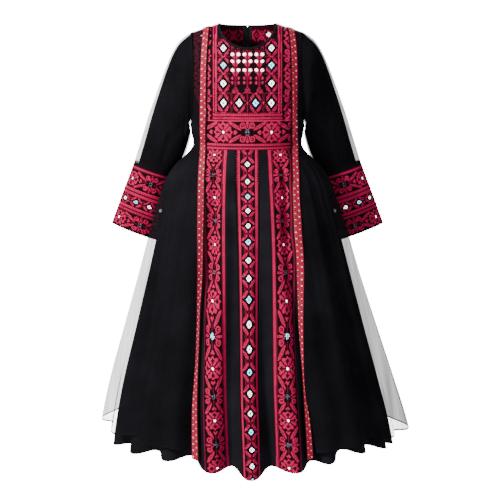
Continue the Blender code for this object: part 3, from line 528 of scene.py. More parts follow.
def leaf(x, y, start, end, wide):
    """A lens from one point to another."""
    dx, dy = end[0] - start[0], end[1] - start[1]
    length = math.hypot(dx, dy)
    t = ((x - start[0]) * dx + (y - start[1]) * dy) / length**2
    off = np.abs((x - start[0]) * dy - (y - start[1]) * dx) / length
    return (t > 0) & (t < 1) & (off < wide / 2 * np.sqrt(np.clip(1 - (2 * t - 1)**2, 0, 1)))


def outlined_leaf(cells, x, y, start, end, wide, name):
    ink(cells, leaf(x, y, start, end, wide + 2 * OUTLINE), "ground")
    ink(cells, leaf(x, y, start, end, wide), name)


def rose(cells, x, y, wide, high):
    """A flower of four scalloped petals, each with a dark spot, round a white centre."""
    ax, ay = np.abs(x) / wide, np.abs(y) / high
    turn, far = np.arctan2(ay, ax), np.hypot(ax, ay)
    edge = 0.92 + 0.08 * np.cos(12 * turn)
    gap = OUTLINE / wide
    ink(cells, far < edge + 1.6 * gap, "ground")
    ink(cells, far < edge, "pink")
    ink(cells, (np.abs(ax - ay) < 0.75 * gap) & (far > 0.2) & (far < edge), "ground")
    ink(cells, (np.minimum(ax, ay) < 0.5 * gap) & (far < 0.52), "wine")
    for cx, cy in ((0, 0.60), (0.60, 0)):
        ink(cells, diamond(ax, ay, cx, cy, 2.1 * gap, 2.4 * gap), "wine")
    ink(cells, diamond(ax, ay, 0, 0, 0.26, 0.26), "ground")
    ink(cells, disc(ax, ay, 0, 0, 0.12), "white")


def star(cells, x, y, half, pitch, blue=False):
    """A latticed heart with curls at its sides, long leaves to the corners and a stemmed bud."""
    ax, ay = np.abs(x), np.abs(y)
    outlined_leaf(cells, ax, ay, (0.20 * half, 0.24 * pitch), (0.96 * half, 0.78 * pitch),
                  0.33 * half, "pink")
    ink(cells, leaf(ax, ay, (0.36 * half, 0.34 * pitch), (0.80 * half, 0.66 * pitch), 0.07 * half), "rose")
    ink(cells, (ax < 0.9) & (ay < 0.5 * pitch), "rose")
    ink(cells, diamond(ax, ay, 0, 0.52 * pitch, 0.24 * half + OUTLINE, 0.12 * pitch + OUTLINE), "ground")
    ink(cells, diamond(ax, ay, 0, 0.52 * pitch, 0.24 * half, 0.12 * pitch), "pink")
    outlined_leaf(cells, ax, ay, (0.42 * half, 0), (1.06 * half, 0), 0.24 * half, "pink")
    ink(cells, leaf(ax, ay, (0.6 * half, 0), (1.0 * half, 0), 0.05 * half), "wine")
    curl = (0.62 * half, 0.20 * pitch)
    ink(cells, disc(ax, ay, *curl, 0.28 * half + OUTLINE), "ground")
    ink(cells, ring(ax, ay, *curl, 0.21 * half, 0.15 * half), "pink")
    ink(cells, disc(ax, ay, *curl, 0.08 * half), "pink")
    ink(cells, leaf(ax, ay, (0.24 * half, 0.03 * pitch), (0.56 * half, 0.12 * pitch), 0.14 * half), "pink")
    ink(cells, diamond(ax, ay, 0, 0, 0.36 * half, 0.36 * half), "ground")
    lattice = (np.floor((x + y) / LATTICE) + np.floor((x - y) / LATTICE)) % 2 == 0
    ink(cells, diamond(ax, ay, 0, 0, 0.30 * half, 0.30 * half) & lattice, "sky" if blue else "slate")


def floral(x, place, half, pitch, blue_star=None):
    """A band of roses at even places and stars at odd ones; x in mm from the band's middle."""
    cells = np.zeros(x.shape, int)
    odd = 2 * np.round((place - 1) / 2) + 1
    away = (place - odd) * pitch
    star(cells, x, away, half, pitch)
    if blue_star is not None:
        part = np.zeros(x.shape, int)
        star(part, x, away, half, pitch, True)
        cells[odd == blue_star] = part[odd == blue_star]
    even = 2 * np.round(place / 2)
    rose(cells, x, (place - even) * pitch, 0.95 * half, 0.40 * pitch)
    return cells


def gem(cells, x, y, half_pitch, half_width, blue=False):
    """A white or blue diamond in four hugging leaves, and a linked pair of ovals after it."""
    ax, ay = np.abs(x) / half_width, np.abs(y) / half_pitch
    for start, end, wide, name in (((1.00, 0.14), (0.08, 0.86), 0.36, "pink"),
                                   ((0.84, 0.30), (0.34, 0.70), 0.06, "wine")):
        ink(cells, leaf(ax, ay, start, end, wide), name)
    ink(cells, diamond(ax, ay, 0, 0, 0.98, 0.62), "ground")
    ink(cells, diamond(ax, ay, 0, 0, 0.41, 0.36), "sky" if blue else "white")
    ink(cells, diamond(ax, ay, 0, 0, 0.17, 0.15), "ground")
    link = 1 - ay
    ink(cells, (ax < 0.05) & (ay > 0.5), "rose")
    ink(cells, leaf(ax, link, (0.52, -0.30), (0.52, 0.30), 0.42), "rose")
    ink(cells, (np.abs(ax - 0.52) < 0.05) & (link < 0.16), "wine")
    ink(cells, diamond(ax, link, 0, 0, 0.20, 0.12), "rose")


def border(cells, inside, across, along, wide, dots=True):
    """A pink line, with dark edges and a row of fine dark dots down its middle if dots is true."""
    ink(cells, inside, "pink")
    if dots:
        spot = (np.abs(across - wide / 2) < DOT_HALF) & (along % DOT_PITCH < DOT_LONG)
        ink(cells, inside & spot, "rose")
        ink(cells, inside & (np.minimum(across, wide - across) < BORDER_EDGE), "rose")


print("inks:", list(INKS))

# %% [markdown]
# ## The printed layouts
# Six layouts make the red work: the skirt's centre strip of diamonds, the floral strips
# beside it, the waist band, the bodice with its bib, the cuffs and the back neck's facing.
# Diamonds and flowers sit closer together at waist and hem than in the middle of the skirt,
# so their heights are short tables. Both sides of the centre front are alike, apart from a
# pair of the bib's diamonds, which is white and blue, and one diamond inside the neck.

# %% Skirt layouts
GEM_ROWS = np.array([0.3649, 0.4092, 0.4475, 0.4845, 0.5222, 0.5642, 0.6110, 0.6567, 0.7103,
                     0.7739, 0.8368, 0.8948, 0.9488, 0.9992, 1.0461, 1.0914, 1.1330, 1.1710])
FLOWER_ROWS = np.array([0.3421, 0.3933, 0.4528, 0.5122, 0.5740, 0.6441, 0.7160,
                        0.8055, 0.8874, 0.9583, 1.0186, 1.0814, 1.1411])
BLUE_STAR = 7                # the one star on each strip that has a blue heart
GEM_PITCH = 46.0             # mm, the pitch that the diamond is drawn at before stretching
GEM_HALF = 17.5
FLOWER_PITCH = 60.0
FLORAL_HALF = 23.0
STRIP_INNER = 19.0           # mm from the strip's middle to its pink lines
STRIP_GROUND = 1.5           # mm of dark ground before them
STRIP_LINE = 7.0             # mm, their width without teeth
SAW_PITCH = 7.0              # mm, teeth along their outer edge
SAW_REACH = 5.0
SAW_END = 0.42               # the teeth stop here, and the line is only a little wider below
LINE_SPREAD = 1.5
INNER_BORDER = 9.5           # mm, the pink lines along a floral strip
OUTER_BORDER = 5.0
FLOWER_GAPS = (3.6, 2.6)     # mm between those lines and the flowers, inner and outer
FINE_LINE = (1.6, 2.8)       # mm past the inner line, a thin dark red one
CUT_EDGE = 0.8               # mm left dark at the strip's cut edges


def motif_place(down, rows):
    """Place in a column of motifs, 0 at the first and rising by one to each next."""
    order = np.arange(len(rows))
    first, last = rows[1] - rows[0], rows[-1] - rows[-2]
    rows = np.concatenate([[rows[0] - first], rows, [rows[-1] + last]])
    return np.interp(down, rows, np.concatenate([[-1], order, [len(order)]]))


def gem_row(x, place, pitch, half_width):
    """Diamonds at whole places, every third one blue."""
    number = np.round(place).astype(int)
    cells = np.zeros(x.shape, int)
    for blue in (False, True):
        part = np.zeros(x.shape, int)
        gem(part, x, (place - number) * pitch, pitch / 2, half_width, blue)
        chosen = (number % 3 == 2) == blue
        cells[chosen] = part[chosen]
    return cells


def draw_centre_strip(x, down):
    """x in millimetres from the middle of the strip."""
    cells = gem_row(x, motif_place(down, GEM_ROWS), GEM_PITCH, GEM_HALF)
    side, along = np.abs(x), down * 1000
    saw = np.abs((along / SAW_PITCH) % 1 - 0.5) * 2
    reach = np.where(down < SAW_END, SAW_REACH * saw, LINE_SPREAD)
    ink(cells, side > STRIP_INNER - STRIP_GROUND, "ground")
    line = (side > STRIP_INNER) & (side < STRIP_INNER + STRIP_LINE + reach)
    border(cells, line, side - STRIP_INNER, along, STRIP_LINE)
    return cells


def draw_floral_strip(across, wide, down):
    """across in millimetres from the strip's inner edge, wide its width there."""
    first, last = INNER_BORDER + FLOWER_GAPS[0], wide - OUTER_BORDER - FLOWER_GAPS[1]
    x = (across - (first + last) / 2) / (last - first) * (2 * FLORAL_HALF)
    cells = floral(x, motif_place(down, FLOWER_ROWS), FLORAL_HALF, FLOWER_PITCH, BLUE_STAR)
    along = down * 1000
    ink(cells, (across < first) | (across > last), "ground")
    border(cells, (across > CUT_EDGE) & (across < INNER_BORDER), across, along, INNER_BORDER)
    ink(cells, (across > INNER_BORDER + FINE_LINE[0]) & (across < INNER_BORDER + FINE_LINE[1]), "rose")
    ink(cells, (across > wide - OUTER_BORDER) & (across < wide - CUT_EDGE), "rose")
    return cells


# %% Bodice, waist band, cuff and neck layouts
BAND_MIDDLE = 0.2815
BAND_HALF = 29.0             # mm
BAND_PITCH = 64.0
BAND_GROUND = (252.6, 310.0)     # mm down; the ground is plain above and below these
BAND_LINES = ((249.6, 3.0), (311.0, 7.2), (319.8, 7.4))      # mm down, and width
DOTTED_FROM = 5              # mm, lines wider than this have dots
SQUARE_ROWS = (0.0395, 0.0835, 0.1280, 0.1785, 0.2300)
SQUARE_COLOURS = (False, True, False, False)
BIB_HALF = 44.0              # mm, outer edge of the dotted field
SQUARE_MIDDLES = (21.3, 63.0)
SQUARE_HALF = 17.5
FRAME = (80.5, 91.5)         # mm from the middle, the bib's double pink line
FRAME_EDGE = 1.4             # mm, the dark line at its outer side, and the ground past it
FOOT_LINES = (231.2, 240.4)  # mm down, the two dotted lines under the bib
FOOT_LINE_WIDE = 7.8
DOT_ROWS = ((77.5, 17.0), (95.5, 19.0), (118.0, 22.0))
STEM_PITCH = 31.2
DOT_OFF_STEM = 7.8
LEAF_ROWS = (139.0, 151.0)
BASE_TOP = 157.0
SIDE_FLOWERS = np.array([0.030, 0.082, 0.134, 0.186, 0.238])
SIDE_FLOWERS_AT = 120.0      # mm from the middle
SIDE_FLOWER_HALF = 25.0
SIDE_FLOWER_PITCH = 52.0


def square(x, y, half_high, blue):
    """A square of the bib: a diamond in four rounded leaves, linked to its neighbours."""
    part = np.zeros(x.shape, int)
    ax, ay = np.abs(x) / SQUARE_HALF, np.abs(y) / half_high
    ink(part, ax**3 + ay**3 < 0.66, "pink")
    ink(part, np.abs((ax**3 + ay**3)**(1 / 3) - 0.76) < 0.035, "rose")
    ink(part, np.minimum(ax, ay) < 0.10, "ground")
    ink(part, diamond(ax, ay, 0, 0, 0.94, 0.84), "ground")
    ink(part, diamond(ax, ay, 0, 0, 0.46, 0.40), "sky" if blue else "white")
    ink(part, diamond(ax, ay, 0, 0, 0.17, 0.14), "ground")
    ink(part, ay > 0.95, "rose")
    ink(part, diamond(ax, ay, 0, 1, 0.40, 0.13), "pink")
    return part


def draw_bib(x, down):
    """Stems with paired white dots, chevrons and small leaves, standing on hatched triangles."""
    y, side = down * 1000, np.abs(x)
    stem = np.minimum(side, np.abs(side - STEM_PITCH))
    part = np.zeros(x.shape, int)
    ink(part, (y < DOT_ROWS[0][0]) & (np.abs(stem - DOT_OFF_STEM) < 3.6), "rose")
    ink(part, (y < DOT_ROWS[0][0]) & diamond(stem, y % 12.0, DOT_OFF_STEM, 6.0, 4.2, 5.0), "wine")
    for at, tall in DOT_ROWS:
        fall = (y - at) / tall
        ink(part, (fall > 0) & (fall < 1) & (stem < 12.6 * (1 - fall)), "pink")
        ink(part, (fall > -0.2) & (fall < 0.45) & (stem < 3.4 * (1 - 2.2 * fall)), "ground")
    for at, tall in DOT_ROWS:
        ink(part, disc(stem, y, DOT_OFF_STEM, at, 5.8), "pink")
        ink(part, disc(stem, y, DOT_OFF_STEM, at, 4.0), "white")
    for at in LEAF_ROWS:
        ink(part, leaf(stem, y, (0, at + 5), (8.0, at - 4), 2.0), "rose")
        ink(part, disc(stem, (y - at) * 0.62, 8.2, 0, 2.9), "pink")
    ink(part, (stem < 1.2) & (y > 66) & (y < BASE_TOP + 2), "rose")
    base = (y - BASE_TOP) / (SQUARE_ROWS[3] * 1000 - BASE_TOP)
    ink(part, (base > 0) & (base < 1) & (stem < 11.5 * base) & ((y - stem * 1.2) % 4.6 < 2.2), "pink")
    return part


def draw_bodice(x, down):
    side, along = np.abs(x), down * 1000
    cells = floral(side - SIDE_FLOWERS_AT, motif_place(down, SIDE_FLOWERS), SIDE_FLOWER_HALF,
                   SIDE_FLOWER_PITCH)
    top, bottom = SQUARE_ROWS[-2:]
    ink(cells, side < FRAME[1] + FRAME_EDGE, "ground")
    for (high, low), blue in zip(zip(SQUARE_ROWS, SQUARE_ROWS[1:]), SQUARE_COLOURS):
        part = square(side - SQUARE_MIDDLES[1], along - (high + low) * 500, (low - high) * 500, blue)
        inside = (np.abs(side - SQUARE_MIDDLES[1]) < SQUARE_HALF) & (down > high) & (down <= low)
        cells[inside] = part[inside]
    for sign, blue in ((-1, False), (1, True)):
        part = square(x - sign * SQUARE_MIDDLES[0], along - (top + bottom) * 500, (bottom - top) * 500, blue)
        inside = (np.abs(x - sign * SQUARE_MIDDLES[0]) < SQUARE_HALF) & (down > top) & (down <= bottom)
        cells[inside] = part[inside]
    low_row = (down > top) & (down <= bottom)
    for at in (0.0, sum(SQUARE_MIDDLES) / 2):
        ink(cells, low_row & (np.abs(np.abs(side - at) - 1.6) < 0.8), "rose")
        ink(cells, low_row & diamond(side, along, at, (top + bottom) * 500, 3.4, 5.0), "pink")
    field = (side < BIB_HALF) & (down < top)
    cells[field] = draw_bib(x, down)[field]
    middle = sum(FRAME) / 2
    ink(cells, (side > FRAME[0]) & (side < FRAME[1]) & (down < bottom), "pink")
    ink(cells, (np.abs(side - middle) < 1.1) & (down < bottom), "wine")
    ink(cells, (side > FRAME[1] - FRAME_EDGE) & (side < FRAME[1]) & (down < bottom), "rose")
    for start in FOOT_LINES:
        line = (along > start) & (along < start + FOOT_LINE_WIDE) & (side < FRAME[1])
        border(cells, line, along - start, x + DOTS_FROM, FOOT_LINE_WIDE)
    return cells


def draw_waist_band(x, down):
    cells = floral((down - BAND_MIDDLE) * 1000, x / BAND_PITCH + 1, BAND_HALF, BAND_PITCH)
    along = down * 1000
    ink(cells, (along < BAND_GROUND[0]) | (along > BAND_GROUND[1]), "ground")
    for start, wide in BAND_LINES:
        border(cells, (along > start) & (along < start + wide), along - start, x + DOTS_FROM, wide,
               wide > DOTTED_FROM)
    return cells


CUFF_MM = 162.0              # from the cuff's seam to its lower edge
CUFF_BANDS = table(("start", "end"), ((5, 12), (57.5, 66), (67.2, 75.5), (101, 109), (110.2, 118)))
CUFF_FLOWERS = ((35.0, 21.0), (139.0, 20.0))
CUFF_PITCH = 53.0
CUFF_GEMS = 88.2
CUFF_GEM_PITCH = 32.0
CUFF_GEM_HALF = 12.0
CUFF_HEM = 2.6
CUFF_ROUND = 320             # mm round the cuff, for its rows of dots
MOTIFS_ROUND = 6
MOTIFS_FROM = 0.62           # places past the outer line where the flowers are counted from
GEMS_ROUND = 10


def draw_cuff(around, along):
    """around from 0 to 1 from the outer line by way of the front, along in millimetres."""
    cells = np.zeros(around.shape, int)
    for middle, half in CUFF_FLOWERS:
        part = floral(along - middle, around * MOTIFS_ROUND - MOTIFS_FROM, half, CUFF_PITCH)
        inside = np.abs(along - middle) < half
        cells[inside] = part[inside]
    part = gem_row(along - CUFF_GEMS, around * GEMS_ROUND, CUFF_GEM_PITCH, CUFF_GEM_HALF)
    inside = np.abs(along - CUFF_GEMS) < CUFF_GEM_HALF
    cells[inside] = part[inside]
    for start, end in zip(*CUFF_BANDS.values()):
        border(cells, (along > start) & (along < end), along - start, around * CUFF_ROUND, end - start)
    ink(cells, along > CUFF_MM - CUFF_HEM, "wine")
    return cells


FACING_ROW = 0.030           # the row of diamonds lies this far down
FACING_FIRST = 25.0          # mm from the zip to the first
FACING_PITCH = 27.0
FACING_HALF = 17.0
FACING_GEM = (58.0, -3.0)    # mm, the one white diamond that shows
FACING_GEM_INKS = ((8.5, 9.5, "ground"), (6.4, 7.4, "white"), (1.8, 2.2, "slate"))


def draw_facing(x, down):
    """The back neck's facing, printed in plain reds with one diamond."""
    y = (down - FACING_ROW) * 1000
    place = (np.abs(x) - FACING_FIRST) / FACING_PITCH
    number = np.round(place)
    cells = np.zeros(x.shape, int)
    gem(cells, y, (place - number) * FACING_PITCH, FACING_PITCH / 2, FACING_HALF)
    reds = np.array([INK[name] for name in ("wine", "pink", "pink", "rose", "pink", "pink", "wine")])
    cells = reds[cells]
    for wide, high, name in FACING_GEM_INKS:
        ink(cells, diamond(x, y, *FACING_GEM, wide, high), name)
    return cells


print("cuff bands:", len(CUFF_BANDS["start"]), "gems down the strip:", len(GEM_ROWS))

# %% [markdown]
# ## Materials
# The dress is a black cotton blend, matt and almost without shine. The red work is thread
# on it, a touch glossier, with a bump for each stitch. The overlay is a fine black voile
# that lets light through its open weave. The trims are a woven ribbon with gold thread,
# and the zip's slider is a painted metal.

# %% A helper for nodes
def add_node(tree, kind, settings=None, links=None):
    """Add a node, set its properties and sockets, and link sockets to others' outputs."""
    node = tree.nodes.new(kind)
    for key, value in (settings or {}).items():
        if isinstance(key, str) and hasattr(node, key):
            setattr(node, key, value)
        else:
            node.inputs[key].default_value = value
    for key, source in (links or {}).items():
        tree.links.new(source, node.inputs[key])
    return node


WAVE_UNIT = math.pi / 10      # a wave texture of this scale repeats once in each unit


def new_material(name, roughness, **constants):
    """A Principled material with its plain numbers set on the shader's own sockets."""
    made = bpy.data.materials.new(name)
    made.use_nodes = True
    shader = made.node_tree.nodes["Principled BSDF"]
    shader.inputs["Roughness"].default_value = roughness
    for key, value in constants.items():
        shader.inputs[key.replace("_", " ")].default_value = value
    return made, made.node_tree, shader


def weave(tree, shader, per_metre, strength, distance):
    """Crossing threads as a bump, from the cloth's own cut coordinates in metres."""
    cut = add_node(tree, "ShaderNodeUVMap", {"uv_map": "cut"})
    waves = []
    for axis in ("X", "Y"):
        waves.append(add_node(tree, "ShaderNodeTexWave", {
            "wave_type": "BANDS", "bands_direction": axis, "Scale": per_metre * WAVE_UNIT,
            "Distortion": 0.6, "Detail": 1.0}, {"Vector": cut.outputs["UV"]}))
    threads = add_node(tree, "ShaderNodeMath", {"operation": "MULTIPLY"},
                       {0: waves[0].outputs["Fac"], 1: waves[1].outputs["Fac"]})
    bump = add_node(tree, "ShaderNodeBump", {"Strength": strength, "Distance": distance},
                    {"Height": threads.outputs[0]})
    tree.links.new(bump.outputs["Normal"], shader.inputs["Normal"])


def cloudy(tree, vector, scale, low, high):
    """A soft uneven value between two numbers, for cloth that isn't perfectly even."""
    noise = add_node(tree, "ShaderNodeTexNoise", {"Scale": scale, "Detail": 3.0, "Roughness": 0.55},
                     {"Vector": vector})
    return add_node(tree, "ShaderNodeMapRange",
                    {"From Min": 0.3, "From Max": 0.7, "To Min": low, "To Max": high},
                    {"Value": noise.outputs["Fac"]}).outputs["Result"]


def place_of(tree):
    return add_node(tree, "ShaderNodeTexCoord").outputs["Object"]


# %% Black cotton blend
# Dyed plain weave: a matt black with soft patches that are slightly greyer and bluer.
black_cotton, tree, shader = new_material("black_cotton_blend", 0.85, Specular_IOR_Level=0.06)
weave(tree, shader, 620, 0.12, 0.0003)
shade = add_node(tree, "ShaderNodeMix", {"data_type": "RGBA"},
                 {0: cloudy(tree, place_of(tree), 9.0, 0.0, 1.0)})
shade.inputs[6].default_value = linear("0e0d11")
shade.inputs[7].default_value = linear("1c1b22")
tree.links.new(shade.outputs[2], shader.inputs["Base Color"])

# %% Counted stitches on cotton
# Mercerised thread lies over the black ground: each 2 mm stitch is a small rounded bump,
# and the thread's colour varies a little from one length to the next.
stitched, tree, shader = new_material("stitched_cotton", 0.75, Specular_IOR_Level=0.07)
cut = add_node(tree, "ShaderNodeUVMap", {"uv_map": "stitch"})
thread = add_node(tree, "ShaderNodeAttribute", {"attribute_name": "thread"})
cell_bump = [add_node(tree, "ShaderNodeTexWave", {"wave_type": "BANDS", "bands_direction": axis,
                                                  "Scale": WAVE_UNIT}, {"Vector": cut.outputs["UV"]})
             for axis in ("X", "Y")]
raised = add_node(tree, "ShaderNodeMath", {"operation": "MULTIPLY"},
                  {0: cell_bump[0].outputs["Fac"], 1: cell_bump[1].outputs["Fac"]})
bump = add_node(tree, "ShaderNodeBump", {"Strength": 0.25, "Distance": 0.0006}, {"Height": raised.outputs[0]})
tree.links.new(bump.outputs["Normal"], shader.inputs["Normal"])
uneven = add_node(tree, "ShaderNodeHueSaturation", {"Saturation": 1.0},
                  {"Value": cloudy(tree, place_of(tree), 60.0, 0.86, 1.10), "Color": thread.outputs["Color"]})
tree.links.new(uneven.outputs["Color"], shader.inputs["Base Color"])
# White and blue thread is bleached with a brightener. On top of that, its colour is given off as a strong
# painted glow, so that the small diamonds stay white from where the camera stands.
WHITE_GLOW = 3.4
tree.links.new(thread.outputs["Color"], shader.inputs["Emission Color"])
bright = add_node(tree, "ShaderNodeMath", {"operation": "MULTIPLY", 1: WHITE_GLOW},
                  {0: thread.outputs["Alpha"]})
tree.links.new(bright.outputs[0], shader.inputs["Emission Strength"])

# %% Black voile
# A fine open weave of black thread. A single layer that hangs loose lets a third of the
# light through, and less gets through where it is folded double at a seam or hem. The gaps
# are far too small to draw, so the openness is a transparent share that varies a little
# with the fall of the cloth.
VOILE_THIN = 0.58
VOILE_THICK = 0.73
VOILE_DOUBLED = 0.40
voile, tree, shader = new_material("black_voile", 0.85, Specular_IOR_Level=0.03)
cut = add_node(tree, "ShaderNodeUVMap", {"uv_map": "cut"})
tone = add_node(tree, "ShaderNodeMix", {"data_type": "RGBA"},
                {0: cloudy(tree, place_of(tree), 7.0, 0.0, 1.0)})
tone.inputs[6].default_value = linear("0b0b0e")
tone.inputs[7].default_value = linear("17171c")
tree.links.new(tone.outputs[2], shader.inputs["Base Color"])
streak = add_node(tree, "ShaderNodeMapping", {"Scale": (34.0, 2.2, 1.0)}, {"Vector": cut.outputs["UV"]})
density = cloudy(tree, streak.outputs["Vector"], 1.0, VOILE_THIN, VOILE_THICK)
doubled = add_node(tree, "ShaderNodeAttribute", {"attribute_name": "doubled"})
opacity = add_node(tree, "ShaderNodeMath", {"operation": "MULTIPLY_ADD", 1: VOILE_DOUBLED, "use_clamp": True},
                   {0: doubled.outputs["Fac"], 2: density})
tree.links.new(opacity.outputs[0], shader.inputs["Alpha"])

# The right half is gathered closer than the left, and lets about a fifth of the light through
VOILE_BASE = {"left": 0.0, "right": 0.34}

# %% Red and gold ribbon
# Woven polyester ribbon: a red ground with cream and gold thread in small dots. The gold
# is partly metallic, and the whole has the soft shine of a close weave.
ribbon, tree, shader = new_material("gold_edged_ribbon", 0.55, Specular_IOR_Level=0.15)
thread = add_node(tree, "ShaderNodeAttribute", {"attribute_name": "thread"})
gilt = add_node(tree, "ShaderNodeAttribute", {"attribute_name": "gilt"})
tree.links.new(thread.outputs["Color"], shader.inputs["Base Color"])
tree.links.new(gilt.outputs["Fac"], shader.inputs["Metallic"])
weave(tree, shader, 900, 0.35, 0.0004)

# %% Painted zinc and zip tape
# The slider and pull are die-cast zinc under black paint, worn thin in small patches. The
# tapes are polyester in a fine slanted weave, matt and black.
painted_zinc, tree, shader = new_material("painted_zinc", 0.38, Metallic=0.7)
worn = add_node(tree, "ShaderNodeMix", {"data_type": "RGBA"},
                {0: cloudy(tree, place_of(tree), 900.0, 0.0, 0.5)})
worn.inputs[6].default_value = linear("2a2a2d")
worn.inputs[7].default_value = linear("8a8a8e")
tree.links.new(worn.outputs[2], shader.inputs["Base Color"])

zip_tape, tree, shader = new_material("polyester_zip_tape", 0.85, Specular_IOR_Level=0.3)
slant = add_node(tree, "ShaderNodeTexWave",
                 {"wave_type": "BANDS", "bands_direction": "DIAGONAL", "Scale": 260.0, "Distortion": 1.0},
                 {"Vector": place_of(tree)})
tape_shade = add_node(tree, "ShaderNodeMix", {"data_type": "RGBA"}, {0: slant.outputs["Fac"]})
tape_shade.inputs[6].default_value = linear("121114")
tape_shade.inputs[7].default_value = linear("232126")
tree.links.new(tape_shade.outputs[2], shader.inputs["Base Color"])

# The coil is black nylon monofilament, smooth and a little glossy
nylon, tree, shader = new_material("nylon_coil", 0.40, Specular_IOR_Level=0.3)
ribbed = add_node(tree, "ShaderNodeMix", {"data_type": "RGBA"},
                  {0: cloudy(tree, place_of(tree), 400.0, 0.0, 1.0)})
ribbed.inputs[6].default_value = linear("0d0d0f")
ribbed.inputs[7].default_value = linear("1a1a1d")
tree.links.new(ribbed.outputs[2], shader.inputs["Base Color"])

# %% Studio paper
# White paper. It is lit from underneath from the garment's front on backwards, the way a
# product table is, so that the garment stands before a bright white. None of that light
# falls on the cloth, which only the lamps and the surround light.
PAPER_GLOW = 16.0
PAPER_LIT = (-0.55, -0.10)    # the light comes up between these places, front to back
paper, tree, shader = new_material("studio_paper", 0.9)
shader.inputs["Base Color"].default_value = linear("fbfbfb")
shader.inputs["Emission Color"].default_value = linear("ffffff")
apart = add_node(tree, "ShaderNodeSeparateXYZ", links={"Vector": place_of(tree)})
lit = add_node(tree, "ShaderNodeMapRange",
               {"From Min": PAPER_LIT[0], "From Max": PAPER_LIT[1], "To Min": 0.0, "To Max": PAPER_GLOW},
               {"Value": apart.outputs["Y"]})
tree.links.new(lit.outputs["Result"], shader.inputs["Emission Strength"])
floor.data.materials.append(paper)
print("materials:", len(bpy.data.materials))

# %% [markdown]
# ## Shells and sheets
# A shell is a cloth wall drawn as a grid on its right side, the same grid a little inside,
# and narrow rims round the edges. Every quad of the right side can have its own thread
# colour. A sheet is a single surface, for the voile that light passes through.

# %% Shells and sheets
CLOTH_THICK = 0.0006
WRONG_SIDE = linear("1b0a10")[:3] + (0.0,)


def quads(grid):
    """Quads of a grid of numbers, each from its upper left corner down and round."""
    return np.stack([grid[:-1, :-1], grid[1:, :-1], grid[1:, 1:], grid[:-1, 1:]], axis=-1).reshape(-1, 4)


def put_mesh(name, points, corners, cut, finish):
    """An object from points, quads and the cut's coordinates at each quad's corners."""
    mesh = bpy.data.meshes.new(name)
    mesh.vertices.add(len(points))
    mesh.vertices.foreach_set("co", points.astype(np.float32).ravel())
    mesh.loops.add(corners.size)
    mesh.loops.foreach_set("vertex_index", corners.astype(np.int32).ravel())
    mesh.polygons.add(len(corners))
    mesh.polygons.foreach_set("loop_start", np.arange(0, corners.size, 4, dtype=np.int32))
    mesh.update(calc_edges=True)
    mesh.validate()
    mesh.uv_layers.new(name="cut").uv.foreach_set("vector", cut.astype(np.float32).ravel())
    mesh.shade_smooth()
    mesh.materials.append(finish)
    made = bpy.data.objects.new(name, mesh)
    bpy.context.scene.collection.objects.link(made)
    return made


def outward(points, corners):
    """True if the quads of a closed mesh face outwards, from the sign of its volume."""
    a, b, c, d = (points[corners[:, i]] for i in range(4))
    return np.sum(a * np.cross(b, c)) + np.sum(a * np.cross(c, d)) > 0


def shell(name, outer, inner, finish, cut, colours=None, closed=False, wrong=WRONG_SIDE):
    """A closed cloth wall between two grids, coloured quad by quad on its right side."""
    rows, columns = outer.shape[:2]
    index = np.arange(rows * columns).reshape(rows, columns)
    if closed:
        index = np.concatenate([index, index[:, :1]], axis=1)
    place = np.arange(index.size).reshape(index.shape)
    right = quads(place)
    wrong_quads = right[:, ::-1]
    paths = [place[0], place[-1][::-1]]
    if not closed:
        paths += [place[::-1, 0], place[:, -1]]
    rim = np.concatenate([np.stack([p[:-1], p[1:], p[1:], p[:-1]], axis=-1) for p in paths])
    corner_places = np.concatenate([right, wrong_quads, rim])
    under = np.concatenate([np.zeros_like(right), np.ones_like(right),
                            np.broadcast_to([0, 0, 1, 1], rim.shape)])
    corners = index.ravel()[corner_places] + under * rows * columns
    points = np.concatenate([outer.reshape(-1, 3), inner.reshape(-1, 3)])
    if not outward(points, corners):
        corners, corner_places = corners[:, ::-1], corner_places[:, ::-1]
    made = put_mesh(name, points, corners, cut.reshape(-1, 2)[corner_places], finish)
    if colours is not None:
        rest = np.broadcast_to(np.array(wrong), (len(corners) - len(right), 4))
        paint(made, np.concatenate([colours.reshape(-1, 4), rest]))
    return made


def paint(obj, colours):
    """Give every quad of a mesh its thread's colour."""
    layer = obj.data.color_attributes.new(name="thread", type="FLOAT_COLOR", domain="CORNER")
    layer.data.foreach_set("color", np.repeat(colours, 4, axis=0).astype(np.float32).ravel())


def stitch_coordinates(obj, scale):
    """Coordinates that count stitches, for the bump of each one."""
    cut = np.empty(len(obj.data.loops) * 2, np.float32)
    obj.data.uv_layers["cut"].uv.foreach_get("vector", cut)
    obj.data.uv_layers.new(name="stitch").uv.foreach_set("vector", cut * scale)


def sheet_mesh(name, grid, finish, cut, doubled, closed=False):
    """A single surface, with a number at each point for how far the voile is doubled."""
    rows, columns = grid.shape[:2]
    index = np.arange(rows * columns).reshape(rows, columns)
    if closed:
        index = np.concatenate([index, index[:, :1]], axis=1)
    place = quads(np.arange(index.size).reshape(index.shape))
    made = put_mesh(name, grid.reshape(-1, 3), index.ravel()[place], cut.reshape(-1, 2)[place], finish)
    layer = made.data.attributes.new(name="doubled", type="FLOAT", domain="POINT")
    layer.data.foreach_set("value", doubled.astype(np.float32).ravel())
    return made


def middles(grid):
    """Values in the middle of each quad of a grid."""
    return (grid[:-1, :-1] + grid[1:, :-1] + grid[1:, 1:] + grid[:-1, 1:]) / 4


